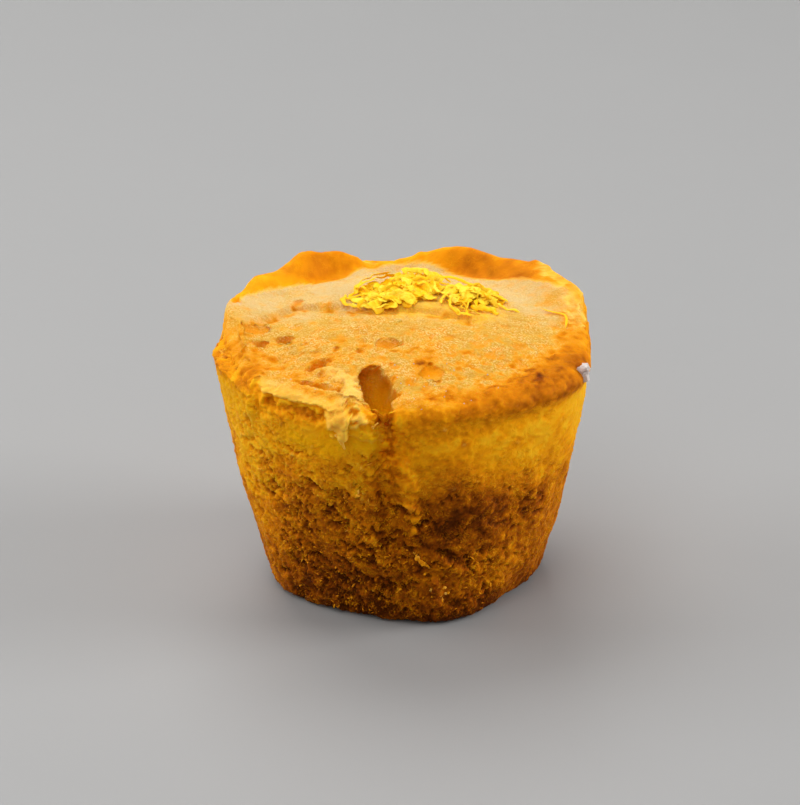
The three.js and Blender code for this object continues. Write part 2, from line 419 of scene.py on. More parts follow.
@dataclass(frozen=True)
class Hollow:
    """A rounded hole: the patch of crust inside an oval mouth is laid onto a bowl behind it.

    `across` and `along` are the mouth's half-widths, turned in plan by `turn` degrees; `into` is the way the
    hole runs; `belly` widens it behind its mouth; `uneven` is how ragged its edge is; and `reach` is how far
    past its depth it still takes crust along.
    """

    at: Spot
    across: float
    along: float
    depth: float
    turn: float = 0.0
    into: Spot = (0.0, 0.0, -1.0)
    belly: float = 0.1
    uneven: float = 0.35
    reach: float = 2.5

    def moved(self, points: Array, ragged: Array) -> tuple[Array, Array]:
        """The points with the hole pressed in.

        In the mouth's plane each point has a radius t, 1 at the edge. It goes to the bowl's arc: sideways
        sin(t * pi / 2) with the belly added, and inwards cos(t * pi / 2) of the depth.

        Args:
            points: Places (n, 3).
            ragged: Noise (n,) that makes the mouth's edge uneven.

        Returns:
            The new places, and how deep in the hole each point is, from 0 to 1.
        """
        inward = unit(np.array(self.into))
        turned = np.radians(self.turn)
        side = np.array([np.cos(turned), np.sin(turned), 0.0])
        side = unit(side - inward * (side @ inward))
        other = np.cross(inward, side)
        offset = points - np.array(self.at)
        u, v, w = offset @ side / self.across, offset @ other / self.along, offset @ inward
        t = np.hypot(u, v) * (1.0 + self.uneven * ragged)
        inside = (t < 1.0) & (np.abs(w) < self.depth + self.reach)
        near = np.clip(t, 1e-6, 1.0)
        arc = near * np.pi / 2.0
        wide = np.sin(arc) * (1.0 + self.belly * np.sin(2.0 * arc)) / near
        deep = np.where(inside, np.cos(arc), 0.0)
        sideways = side * (u * self.across)[:, None] + other * (v * self.along)[:, None]
        shift = (wide - 1.0)[:, None] * sideways + inward * (deep * self.depth)[:, None]
        return points + np.where(inside[:, None], shift, 0.0), deep


@dataclass(frozen=True)
class Patch:
    """A torn band of the crust, along a line of spots on the plain form, with a half-width at each spot.

    Inside the band the crust moves, over an edge `soft` wide; `hinge` holds two heights between which the
    move grows to its whole. `baked` browns the band and in recesses paints shade; `fresh` and `cream` make it
    yellow or pale crumb, and `brim` makes only its edge pale. `uneven` is how far noise pushes the band's
    edge, in millimetres.
    """

    line: tuple[Spot, ...]
    halves: tuple[float, ...]
    move: Spot
    soft: float = 0.15
    hinge: Span | None = None
    baked: float = 0.0
    fresh: float = 0.0
    cream: float = 0.0
    brim: float = 0.0
    uneven: float = 0.5

    def depth(self, points: Array, ragged: Array) -> Array:
        """How far inside the band each point lies, in millimetres, and below 0 outside it.

        Along each run from spot to spot it is the half-width there less the distance to the run; the
        largest of the runs counts, plus the noise.

        Args:
            points: Places (n, 3).
            ragged: Noise at each point.

        Returns:
            Millimetres inside the band.
        """
        found = np.full(len(points), -FAR)
        for start, end, thick, thin in zip(self.line, self.line[1:], self.halves, self.halves[1:]):
            run = np.array(end) - np.array(start)
            along = np.clip((points - start) @ run / (run @ run), 0.0, 1.0)
            away = np.linalg.norm(points - (np.array(start) + along[:, None] * run), axis=1)
            found = np.maximum(found, mix(thick, thin, along) - away)
        return found + self.uneven * ragged

    def pale_edge(self, share: Array, depth: Array, ragged: Array) -> Array:
        """How pale the band's edge is: up to 0.9 inside it, in stretches where the noise isn't low."""
        near = smooth(0.9, 0.2, depth - 0.5 * ragged)
        return self.brim * share * near * smooth(-0.4, 0.2, ragged + 0.1)

    def apply(self, skin: "Skin", ragged: Array) -> None:
        """Moves the patch's points and adds its colours to the skin's masks.

        Args:
            skin: The skin so far.
            ragged: Noise at each point.
        """
        depth = self.depth(skin.plain, ragged)
        share = smooth(-self.soft, self.soft, depth)
        grown = share
        if self.hinge:
            grown = share * smooth(*self.hinge, skin.plain[:, 2])
        skin.points = skin.points + grown[:, None] * np.array(self.move)
        skin.masks["torn"] = np.maximum(skin.masks["torn"], share)
        for name, amount in (("browning_and_shade", self.baked), ("fresh", self.fresh), ("cream", self.cream)):
            skin.masks[name] = mix(skin.masks[name], amount, share)
        skin.masks["cream"] = np.maximum(skin.masks["cream"], self.pale_edge(share, depth, ragged))


@dataclass(frozen=True)
class CakeForm:
    """The plain form of the cake: its section at each angle, from the base to the middle of the top.

    `ledge` is 1 where the shoulder is a flat step; `crown_fall` is how far inwards the crown's height passes
    into the dome; `lip` is how far the rolled lip stands out; each of the wall's waves has its turns round
    the cake, its climb and its swing.
    """

    height: float = HEIGHT
    base_radius: Around = Around(
        0.7 * RIM,
        ((200, 25, 1.0), (245, 25, -1.0), (290, 15, 1.0), (0, 30, 1.5), (85, 40, 1.0), (140, 30, 0.5)),
    )
    rim_radius: Around = Around(
        RIM, ((330, 20, 1.5), (35, 25, 2.5), (190, 10, 0.5), (115, 30, 0.5), (270, 30, -0.5))
    )
    wall_height: Around = Around(
        0.875 * HEIGHT, ((190, 15, 0.5), (75, 30, 3.0), (120, 25, 3.0), (20, 30, 1.0), (250, 30, -0.5))
    )
    crown_inset: Around = Around(
        2.5, ((185, 15, -0.5), (70, 20, -1.0), (120, 20, -1.0), (20, 20, -1.0), (160, 15, -1.5))
    )
    crown_height: Around = Around(
        HEIGHT - 2.0,
        ((70, 15, 3.0), (120, 15, 3.0), (45, 15, 1.5), (180, 20, 1.5), (20, 20, 1.0), (150, 15, 1.0)),
    )
    ledge: Around = Around(0.0, ((190, 15, 1.0),))
    crown_fall: Around = Around(8.0, ((70, 20, -5.0), (120, 20, -5.0), (20, 25, -2.0)))
    lip: Around = Around(0.0, ((300, 25, 0.5), (330, 20, 0.5)))
    lip_rise: float = 1.5
    lip_width: float = 1.5
    lip_groove: float = 0.5
    top_sag: float = 2.0
    top_span: float = 21.0
    top_tilt: float = 0.02
    foot_round: float = 1.5
    wall_barrel: float = 0.25
    lean: float = -0.25
    ledge_rise: float = 0.7
    waves: tuple[tuple[float, float, float], ...] = ((7, 0.16, 0.14), (11, -0.31, 0.12), (17, 0.42, 0.1))

    def place(self, angle: Array, radius: Array, height: Array) -> Array:
        """Polar to plain coordinates, leaning sideways in proportion to the height.

        Args:
            angle: Degrees round the cake.
            radius: Distances from the middle.
            height: Heights over the base.

        Returns:
            Places (..., 3).
        """
        side = self.lean * height / self.height
        turn = np.radians(angle)
        return np.stack([radius * np.cos(turn) + side, radius * np.sin(turn), height + 0.0 * angle], -1)

    def lip_at(self, angle: Array, height: Array) -> Array:
        """How far the rolled lip stands out: a bell just over the wall less a smaller bell just under it.

        Args:
            angle: Degrees round the cake.
            height: Heights over the base.

        Returns:
            Millimetres outwards.
        """
        over = height - self.wall_height.at(angle)
        bulge = bell(over - self.lip_rise, self.lip_width)
        groove = bell(over + self.lip_rise, self.lip_width)
        return self.lip.at(angle) * (bulge - self.lip_groove * groove)

    def base(self, angle: Array, share: Array) -> Array:
        """The flat base, from its middle out to where its corner starts to round."""
        return self.place(angle, (self.base_radius.at(angle) - self.foot_round) * share, 0.0 * angle)

    def wall(self, angle: Array, share: Array) -> Array:
        """The wall: a taper that bulges by share * (1 - share), a quarter-round foot, and gentle waves.

        Args:
            angle: Degrees round the cake.
            share: How far along the part, from 0 to 1.

        Returns:
            Places (..., 3).
        """
        height = self.wall_height.at(angle) * share
        corner = np.clip(1.0 - height / self.foot_round, 0.0, 1.0)
        taper = share * (1.0 + self.wall_barrel * (1.0 - share))
        radius = mix(self.base_radius.at(angle), self.rim_radius.at(angle), taper)
        radius = radius - self.foot_round * (1.0 - np.sqrt(1.0 - corner * corner))
        turn = np.radians(angle)
        wave = sum(swing * np.sin(turns * turn + climb * height) for turns, climb, swing in self.waves)
        radius = radius + wave * np.sin(np.pi * share) + self.lip_at(angle, height)
        return self.place(angle, radius, height)

    def shoulder(self, angle: Array, share: Array) -> Array:
        """The shoulder: a quarter turn inwards, or on the ledge a flat step and then a cliff.

        Args:
            angle: Degrees round the cake.
            share: How far along the part, from 0 to 1.

        Returns:
            Places (..., 3).
        """
        turn = share * np.pi / 2.0
        ledge = np.clip(self.ledge.at(angle), 0.0, 1.0)
        inward = mix(1.0 - np.cos(turn), np.sin(turn) ** self.ledge_rise, ledge)
        upward = mix(np.sin(turn), 1.0 - np.cos(turn), ledge)
        height = mix(self.wall_height.at(angle), self.crown_height.at(angle), upward)
        radius = self.rim_radius.at(angle) - self.crown_inset.at(angle) * inward
        return self.place(angle, radius + self.lip_at(angle, height) * (1.0 - share), height)

    def top_radius(self, angle: Array) -> Array:
        """How far the edge of the baked top stands from the middle."""
        return self.rim_radius.at(angle) - self.crown_inset.at(angle)

    def top_at(self, angle: Array, radius: Array) -> Array:
        """Height of the baked top: a low dome that the crown's height takes over near the edge.

        Args:
            angle: Degrees round the cake.
            radius: Distances from the middle.

        Returns:
            Heights over the base.
        """
        to_edge = np.maximum(self.top_radius(angle) - radius, 0.0)
        crown = 1.0 - smooth(0.0, self.crown_fall.at(angle), to_edge)
        dome = self.height - self.top_sag * (radius / self.top_span) ** 2
        dome = dome + self.top_tilt * radius * np.sin(np.radians(angle))
        return mix(dome, self.crown_height.at(angle), crown)

    def top(self, angle: Array, share: Array) -> Array:
        """The baked top, from its edge in to the middle."""
        radius = self.top_radius(angle) * (1.0 - share)
        return self.place(angle, radius, self.top_at(angle, radius))

    def crust_height(self, x: Array, y: Array) -> Array:
        """Height of the baked top over a place in plan."""
        aside = x - self.lean
        return self.top_at(np.degrees(np.arctan2(y, aside)), np.hypot(aside, y))

    def on_wall(self, angle: float, height: float, proud: float = 0.0) -> Spot:
        """A spot on the wall at a height, or past the wall's top on the quarter turn of the shoulder.

        On the shoulder the share of the turn is asin(risen) * 2 / pi. `proud` moves the spot outwards.

        Args:
            angle: Degrees round the cake.
            height: The height over the base.
            proud: How far outwards.

        Returns:
            The spot.
        """
        turn = np.array([float(angle)])
        wall, crown = self.wall_height.at(turn), self.crown_height.at(turn)
        risen = np.clip((height - wall) / (crown - wall), 0.0, 1.0)
        if height <= wall[0]:
            found = self.wall(turn, height / wall)
        else:
            found = self.shoulder(turn, np.arcsin(risen) * 2 / np.pi)
        outward = np.array([np.cos(np.radians(angle)), np.sin(np.radians(angle)), 0.0])
        return tuple(found[0] + proud * outward)

    def on_top(self, angle: float, share: float, proud: float = 0.0) -> Spot:
        """A spot on the top, a share of the way from its middle to its edge, raised by `proud`."""
        found = self.top(np.array([float(angle)]), np.array([1.0 - share]))[0]
        return tuple(found + (0.0, 0.0, proud))


FORM = CakeForm()
on_wall, on_top = FORM.on_wall, FORM.on_top


# ---- The crust and crumb ----


@dataclass(frozen=True)
class Stretch:
    """A run of rings of the cake's skin: the part of the form, the shares they stand at, and their points."""

    part: Callable[[Array, Array], Array]
    shares: Array
    points: int


@dataclass
class Skin:
    """Every point of the cake's skin: its place, where it lies on the plain form, and its masks.

    `top` is how far a point belongs to the top, from 0 on the wall to 1.
    """

    points: Array
    triangles: Array
    plain: Array
    angle: Array
    top: Array
    normals: Array | None = None
    masks: dict[str, Array] = field(default_factory=dict)


@dataclass(frozen=True)
class Stain:
    """A patch of the wall, round an angle and a height, where something is stronger by an amount."""

    angle: float
    height: float
    wide: float
    tall: float
    amount: float

    def at(self, angle: Array, height: Array) -> Array:
        """The amount times a bell of the distance from the patch's middle."""
        away = degrees_from(self.angle, angle) / self.wide
        return self.amount * np.exp(-(away**2) - ((height - self.height) / self.tall) ** 2)


@dataclass(frozen=True)
class PoreSize:
    """One size of pore: its width, its depth, and the share of its cells that stay closed in open crumb.

    `dark` is how strongly its floor counts as pore, and `pale` how strongly its mouth counts as rim.
    """

    width: float
    depth: float
    closed: float
    dark: float
    pale: float


@dataclass(frozen=True)
class OpenCrumb:
    """Pores and ragged crumb over the wall, and fine pits and dimples over the top.

    `openness` is how much of the wall's skin is broken open round the cake, more in the patches. It fades to
    `upper_share` over the `open_below` height and ends at the wall's end, past which `torn` opens more crumb.
    `squash` and `slant` make the pores wider than tall and lean; `warp` pushes them about by two noises.
    `crease` is the line in front of which the top steps down.
    """

    openness: Around = Around(0.5, ((240, 30, 0.6), (260, 15, 0.2), (300, 25, 0.1), (185, 20, -0.2)))
    patches: tuple[Stain, ...] = (
        Stain(210, 26, 15, 6, 0.4), Stain(250, 29, 15, 2, -0.6), Stain(290, 27, 15, 3, -0.3),
        Stain(305, 7, 15, 4, 0.3), Stain(320, 17, 10, 3, 0.3), Stain(285, 3, 20, 2, 0.2),
    )
    torn: tuple[Stain, ...] = (
        Stain(190, 33, 15, 1.5, 0.7), Stain(205, 33, 10, 1, 0.4), Stain(20, 35, 25, 2, 0.7),
    )
    pores: tuple[PoreSize, ...] = (
        PoreSize(3.1, 0.8, 0.65, dark=1.0, pale=1.0),
        PoreSize(1.8, 0.6, 0.55, dark=0.9, pale=0.8),
        PoreSize(1.05, 0.35, 0.4, dark=0.6, pale=0.6),
        PoreSize(0.65, 0.15, 0.3, dark=0.4, pale=0.4),
    )
    squash: float = 1.5
    slant: float = 0.45
    warp: Span = (0.85, 0.4)
    open_below: float = 23.0
    open_fade: float = 3.0
    upper_share: float = 0.42
    wall_end: Span = (32.5, 31.0)
    most_open: float = 1.3
    ragged_depth: Span = (0.1, 0.14)
    lump_depth: float = 0.3
    torn_depth: float = 0.14
    streak_depth: float = 0.2
    streak_angle: float = 214.0
    streak_wide: float = 20.0
    streak_heights: Span = (18.0, 26.0)
    lip_depth: float = 0.18
    lip_heights: Span = (29.0, 31.5)
    step_depth: float = 0.9
    step_left: Span = (-22.0, -18.0)
    step_right: Span = (12.0, 8.0)
    top_front: Span = (6.0, -10.0)
    dimple_depth: float = 0.26
    pit_depth: float = 0.32
    small_pit_depth: float = 0.15
    crease: tuple[Spot, ...] = (
        on_top(180, 0.95), on_top(155, 0.7), on_top(140, 0.35), on_top(70, 0.2),
        on_top(10, 0.4), on_top(5, 0.6),
    )

    def warped(self, points: Array) -> Array:
        """Places squashed, so that pores are wider than tall, slanted, and pushed about by two noises.

        Args:
            points: Places (n, 3).

        Returns:
            The places where the pores' cells are looked up.
        """
        push = np.stack([noise(points / 1.7, 40 + axis) for axis in range(3)], -1)
        fine = np.stack([noise(points / 0.6, 50 + axis) for axis in range(3)], -1)
        slanted = points[:, 2] + self.slant * points[:, 0]
        squashed = np.stack([points[:, 0], points[:, 1], slanted * self.squash], -1)
        return squashed + self.warp[0] * push + self.warp[1] * fine

    def opened(self, skin: Skin) -> Array:
        """How open the crumb is at each point of the wall, from 0 to the most open.

        Args:
            skin: The skin so far.

        Returns:
            The openness at each point.
        """
        cloud = layered(skin.plain / 4.0, 60, 4)
        height = skin.plain[:, 2]
        low = smooth(self.open_below + self.open_fade, self.open_below - self.open_fade, height + 6.0 * cloud)
        found = self.openness.at(skin.angle) * mix(self.upper_share, 1.0, low) * (0.85 + 0.4 * cloud)
        found = found + sum(patch.at(skin.angle, height) for patch in self.patches)
        found = found * smooth(*self.wall_end, height)
        found = found + sum(patch.at(skin.angle, height) for patch in self.torn)
        return np.clip(found, 0.02, self.most_open) * (1.0 - 0.75 * skin.top)

    def pits(self, places: Array, closed: Array | float, seed: int) -> tuple[Array, Array]:
        """Pits with mouths of their own widths, one round each point of a scatter of cells.

        A pit's floor runs from deep under the upper rim to shallow at the lower one.

        Args:
            places: Where to look, in widths of a cell.
            closed: The share of the pits that stay closed.
            seed: Which scatter to draw.

        Returns:
            How deep each point lies in a pit, from 0 at its mouth to about 1, and how near it is to a rim.
        """
        first, second, tag, rise = nearest_cells(places, seed)
        own = smooth(closed - 0.1, closed + 0.1, tag * 13.7 % 1.0)
        mouth = 0.38 + 0.28 * tag
        hole = smooth(mouth, mouth - 0.2, first) * smooth(0.0, 0.16, second - first)
        return hole * own * np.clip(0.7 + 0.7 * rise, 0.15, 1.2), own * bell(first - mouth, 0.1)

    def wall_pores(self, places: Array, opened: Array) -> tuple[Array, Array, Array]:
        """The pores of each size in turn: their depth, and the masks of their floors and of their rims.

        Args:
            places: Warped places (n, 3).
            opened: How open the crumb is at each point.

        Returns:
            The depth, and two masks.
        """
        depth, pore, rim = (np.zeros(len(places)) for _ in range(3))
        for i, size in enumerate(self.pores):
            shut = np.clip(size.closed + 0.9 * (1.0 - opened), 0.0, 1.2)
            pit, edge = self.pits(places / size.width, shut, 70 + i)
            depth += pit * size.depth * (1.0 - 0.5 * pore)
            pore = np.maximum(pore, pit * size.dark)
            rim = np.maximum(rim * (1.0 - 0.6 * pit), edge * size.pale)
        return depth, pore, rim

    def crumb_relief(self, places: Array, own: Array, wall: Array) -> Array:
        """Depth of the ragged crumb between the pores: noise less ridges, and lumps where it is open.

        Args:
            places: Warped places (n, 3).
            own: How open the wall is, and 0 on the top.
            wall: 1 on the wall and 0 on the top.

        Returns:
            The depth at each point.
        """
        ragged = layered(places / 0.8, 80, 2)
        ridged = 1.0 - 2.0 * np.abs(noise(places / 0.55, 84))
        lumpy = layered(places / 3.2, 85, 2)
        least, more = self.ragged_depth
        return (least + more * own) * (ragged - 0.5 * ridged) * wall + self.lump_depth * own * lumpy

    def streaks(self, skin: Skin) -> Array:
        """Depth of the upright streaks on the upper wall at the left: noise five times as tall as wide.

        Args:
            skin: The skin so far.

        Returns:
            The depth at each point.
        """
        turn, height = np.radians(skin.angle), skin.plain[:, 2]
        tall = np.stack([RIM * np.cos(turn), RIM * np.sin(turn), height / 5.0], -1)
        share = smooth(*self.streak_heights, height) * bell(skin.angle - self.streak_angle, self.streak_wide)
        return self.streak_depth * share * layered(tall / 0.9, 86, 2)

    def lip_relief(self, skin: Skin) -> Array:
        """Depth of the lumps along the edge of the top at the front."""
        share = smooth(*self.lip_heights, skin.plain[:, 2]) * smooth(-4.0, -14.0, skin.plain[:, 1])
        return self.lip_depth * share * layered(skin.plain / 2.2, 87, 3)

    def step_at(self, skin: Skin) -> Array:
        """How far in front of the crease of the top each point lies."""
        crease = np.interp(skin.plain[:, 0], *np.array(self.crease).T[:2])
        return crease - skin.plain[:, 1] + 0.8 * noise(skin.plain / 2.0, 98)

    def top_relief(self, skin: Skin) -> Array:
        """Depth of the top's step, of its swells, of its dimples towards the front, and of its small pits.

        The step falls over a millimetre at the crease and comes back over the next few millimetres. A bell
        of the distance to the crease is kept as a mask, for the painted shade along the step.

        Args:
            skin: The skin so far.

        Returns:
            The depth at each point.
        """
        front = smooth(*self.top_front, skin.plain[:, 1])
        ahead, side = self.step_at(skin), skin.plain[:, 0]
        step = smooth(-0.6, 0.6, ahead) * np.exp(-np.clip(ahead, 0.0, 20.0) / 5.0)
        reach = smooth(*self.step_left, side) * smooth(*self.step_right, side)
        step = self.step_depth * step * reach
        # mask for the painted shade along the step
        skin.masks["crease"] = skin.top * reach * bell(ahead - 1.0, 1.5)
        fine = layered(skin.plain / 0.8, 92, 2)
        swell = 0.10 * layered(skin.plain / 4.0, 90, 2) + (0.05 + 0.09 * front) * fine
        dimples = self.dimple_depth * front * np.maximum(layered(skin.plain / 1.9, 94, 3), 0.0)
        pits, _ = self.pits(skin.plain / 1.7, 0.98 - 0.34 * front, 96)
        small, _ = self.pits(skin.plain / 0.9, 0.95 - 0.3 * front, 97)
        skin.masks["pore"] = np.maximum(skin.masks["pore"], skin.top * np.maximum(0.7 * pits, 0.4 * small))
        return skin.top * (step + swell + dimples + self.pit_depth * pits + self.small_pit_depth * small)

    def apply(self, skin: Skin) -> None:
        """Presses the pores into the skin and keeps how deep, how raised and how open it is as masks.

        Args:
            skin: The skin so far.
        """
        torn, wall = skin.masks["torn"], 1.0 - skin.top
        opened = self.opened(skin) * (1.0 - 0.7 * torn)
        places = self.warped(skin.plain)
        depth, pore, rim = self.wall_pores(places, opened)
        depth += self.crumb_relief(places, np.clip(opened, 0.0, 1.0) * wall, wall)
        depth += self.streaks(skin) + self.torn_depth * torn * layered(skin.plain / 0.75, 88, 3)
        depth += self.lip_relief(skin)
        depth += self.top_relief(skin)
        depth *= smooth(0.0, 0.5, skin.plain[:, 2])
        skin.points = skin.points - skin.normals * depth[:, None]
        relief = depth - evened(depth, skin.triangles, 14)
        skin.masks["sunk"] = np.clip(relief / 0.35, 0.0, 1.0)
        skin.masks["raised"] = np.clip(-relief / 0.3, 0.0, 1.0)
        skin.masks["pore"] = np.clip(np.maximum(pore, skin.masks["pore"]), 0.0, 1.0)
        skin.masks["rim"] = np.clip(rim * opened, 0.0, 1.0)
        skin.masks["open"] = np.clip(opened, 0.0, 1.0)


@dataclass(frozen=True)
class ZestGlowOval:
    """An oval of crust in plan with a painted yellow glow under the zest: its middle and its half-widths."""

    middle: Span
    reach: Span


@dataclass(frozen=True)
class Browning:
    """How far each part of the skin is baked, from 0, pale gold, to 1, dark brown.

    `profile` is the browning at heights up the wall. It passes into that of the shoulder, `plain_tone` plus
    the lip's, over `wall_end`. Pores and sunk crumb are darker by the amounts after that, as painted shade,
    and rims and raised crumb lighter, as painted light where they stand out.
    """

    profile: tuple[Span, ...] = (
        (0.0, 0.95), (1.5, 0.8), (8.0, 0.68), (16.0, 0.62),
        (20.0, 0.47), (25.0, 0.24), (29.0, 0.16), (32.0, 0.16),
    )
    stains: tuple[Stain, ...] = (
        Stain(315, 25, 20, 5, -0.1), Stain(285, 16, 15, 6, 0.25), Stain(300, 18, 15, 5, 0.2),
        Stain(310, 7, 10, 4, -0.25), Stain(340, 16, 15, 10, -0.05), Stain(320, 17, 10, 5, 0.1),
        # lighter high on the right wall: a painted highlight where the light from the right falls
        Stain(340, 30, 15, 3, -0.15),
        # the last of these darkens the wall under the strap: a painted shadow
        Stain(205, 17, 15, 12, -0.3), Stain(300, 1, 25, 2, 0.2), Stain(230, 31, 10, 1, 0.3),
        # the first darkens the wall beside the seam's ridge and the second the band under the lip: painted
        # shade
        Stain(265, 22, 5, 6, 0.2), Stain(295, 30, 15, 1, 0.2), Stain(275, 30, 10, 1.5, 0.15),
        Stain(240, 6, 20, 5, 0.2), Stain(20, 18, 40, 15, -0.1), Stain(120, 20, 25, 8, 0.1),
    )
    form: CakeForm = FORM
    # yellow painted on the crust round the zest: a glow that stands for light through the zest and lifts its
    # shade
    zest_glow_ovals: tuple[ZestGlowOval, ...] = (ZestGlowOval((0.5, 7.5), (8.0, 6.5)), ZestGlowOval((8.5, 5.5), (6.0, 5.5)))
    lobes: Around = Around(
        0.0, ((60, 30, 0.45), (120, 20, 0.4), (150, 15, 0.2), (25, 20, 0.2), (350, 15, 0.15))
    )
    lobe_width: Around = Around(0.0, ((60, 25, 3.5), (35, 15, 1.0), (120, 15, 4.0), (145, 15, 2.0)))
    lip: Around = Around(
        0.05, ((320, 25, 0.4), (345, 15, 0.15), (10, 20, 0.15), (285, 15, 0.15), (195, 20, 0.15))
    )
    lip_heights: Span = (36.0, 33.5)
    lip_radii: Span = (17.5, 22.0)
    wall_end: Span = (29.75, 32.25)
    plain_tone: float = 0.14
    # painted shade in pores and sunk crumb, and painted light on rims and raised crumb
    pore_shade: float = 0.18
    sunk_shade: float = 0.22
    rim_highlight: float = -0.1
    raised_highlight: float = -0.16
    front: Span = (4.0, -13.0)
    back: Span = (-2.0, 12.0)
    hole_shaded_front: Span = (-15.0, -21.0)
    lit_crumb_heights: Span = (16.0, 28.0)

    def zest_glow_at(self, skin: Skin) -> Array:
        """How yellow the painted glow under the zest is: most inside the ovals, fading over an uneven edge.

        Args:
            skin: The skin so far.

        Returns:
            A number from 0 to 1 for each point.
        """
        x, y = skin.plain[:, 0], skin.plain[:, 1]
        ovals = [
            np.hypot((x - oval.middle[0]) / oval.reach[0], (y - oval.middle[1]) / oval.reach[1])
            for oval in self.zest_glow_ovals
        ]
        return 0.8 * smooth(1.15, 0.5, np.min(ovals, axis=0) + 0.25 * layered(skin.plain / 1.5, 118, 3))

    def lobe_share(self, skin: Skin, mottle: Array) -> Array:
        """1 on the raised lobes of the rim, as far in from the edge of the top as each lobe is wide.

        Args:
            skin: The skin so far.
            mottle: Fine noise at each point.

        Returns:
            A number from 0 to 1 for each point.
        """
        inside = self.form.top_radius(skin.angle) - np.hypot(skin.plain[:, 0], skin.plain[:, 1])
        width = self.lobe_width.at(skin.angle)
        return smooth(0.3, 0.6, width) * smooth(width + 0.2, width - 0.2, inside + 0.2 * mottle) * skin.top

    def wall_browning(self, skin: Skin, cloud: Array, mottle: Array) -> Array:
        """Browning of the wall and the shoulder with their torn patches, and painted shade and light on the
        crumb.

        Args:
            skin: The skin so far.
            cloud: Broad noise at each point.
            mottle: Fine noise at each point.

        Returns:
            The browning at each point.
        """
        height, masks = skin.plain[:, 2], skin.masks
        wall = np.interp(height + 4.0 * cloud, *zip(*self.profile))
        wall = wall + sum(stain.at(skin.angle + 4.0 * cloud, height + 1.5 * mottle) for stain in self.stains)
        lip = self.lip.at(skin.angle) * smooth(*self.lip_heights, height)
        shoulder = self.plain_tone + lip + 0.12 * cloud + 0.16 * mottle
        wall = mix(wall, shoulder, smooth(*self.wall_end, height + 0.5 * mottle))
        wall = wall + 0.16 * mottle * smooth(31.0, 26.0, height)
        wall = mix(wall, masks["browning_and_shade"] + 0.1 * mottle, masks["torn"])
        # painted shade in pores and sunk crumb, painted light on rims and raised crumb
        relief = self.pore_shade * masks["pore"] + self.sunk_shade * masks["sunk"]
        relief = relief + self.rim_highlight * masks["rim"] + self.raised_highlight * masks["raised"]
        return wall + relief * (1.0 - skin.top)

    def top_browning(self, skin: Skin, cloud: Array, mottle: Array) -> Array:
        """Browning of the top: more towards the front and at the lip, with painted shade in its dents and
        along its step.

        Args:
            skin: The skin so far.
            cloud: Broad noise at each point.
            mottle: Fine noise at each point.

        Returns:
            The browning at each point.
        """
        masks, radius = skin.masks, np.hypot(skin.plain[:, 0], skin.plain[:, 1])
        front = smooth(*self.front, skin.plain[:, 1])
        spots, clouds = np.maximum(mottle, 0.0), np.maximum(cloud, 0.0)
        top = 0.02 + 0.04 * front + 0.2 * front * spots + 0.22 * front * clouds
        # darker in the dents and along the step: painted shade
        top = top + 0.12 * spots + 0.14 * masks["sunk"] * (0.3 + 0.7 * front)
        top = top + 0.18 * masks["crease"] * np.clip(1.0 + 1.2 * mottle, 0.0, 2.0)
        return top + self.lip.at(skin.angle) * smooth(*self.lip_radii, radius + 0.8 * mottle)

    def apply(self, skin: Skin) -> None:
        """Keeps the browning of the wall, the shoulder and the top as one mask.

        The lobes' own skin and torn pale crumb are taken out of the mask of the top's pale skin. The back of
        the top is made pale, and raised crumb on the upper wall is made pale as a painted highlight.

        Args:
            skin: The skin so far.
        """
        cloud = layered(skin.plain / 4.5, 110, 4)
        mottle = layered(skin.plain / 1.5, 112, 3)
        masks, height, top_share = skin.masks, skin.plain[:, 2], skin.top
        lobe = self.lobe_share(skin, mottle)
        # the hole browner towards its front: painted shade on its floor
        hole = 0.3 + 0.4 * smooth(*self.hole_shaded_front, skin.plain[:, 1]) + 0.1 * mottle
        wall = mix(self.wall_browning(skin, cloud, mottle), hole, masks["deep"])
        top = self.top_browning(skin, cloud, mottle)
        top = mix(top, self.lobes.at(skin.angle) + 0.08 * mottle + 0.1 * cloud, lobe)
        top = mix(mix(top, hole, masks["deep"]), masks["browning_and_shade"] + 0.1 * mottle, masks["torn"])
        masks["top_skin"] = top_share * (1.0 - lobe) * (1.0 - masks["cream"])
        masks["open"] = masks["open"] * (1.0 - lobe)
        # the painted glow under the zest
        masks["painted_zest_glow"] = self.zest_glow_at(skin) * top_share
        masks["baked"] = np.clip(mix(wall, top, top_share) + 0.04 * mottle, 0.0, 1.0)
        # cream on raised crumb of the upper wall: a painted highlight on the lit crumb
        pale = smooth(0.55, 1.0, masks["raised"] + 0.5 * mottle) * smooth(*self.lit_crumb_heights, height) * 0.35
        back = 0.85 * smooth(*self.back, skin.plain[:, 1] + 6.0 * cloud) * top_share * (1.0 - lobe)
        masks["cream"] = np.clip(np.maximum(masks["cream"], pale * (1.0 - top_share)) + back, 0.0, 1.0)


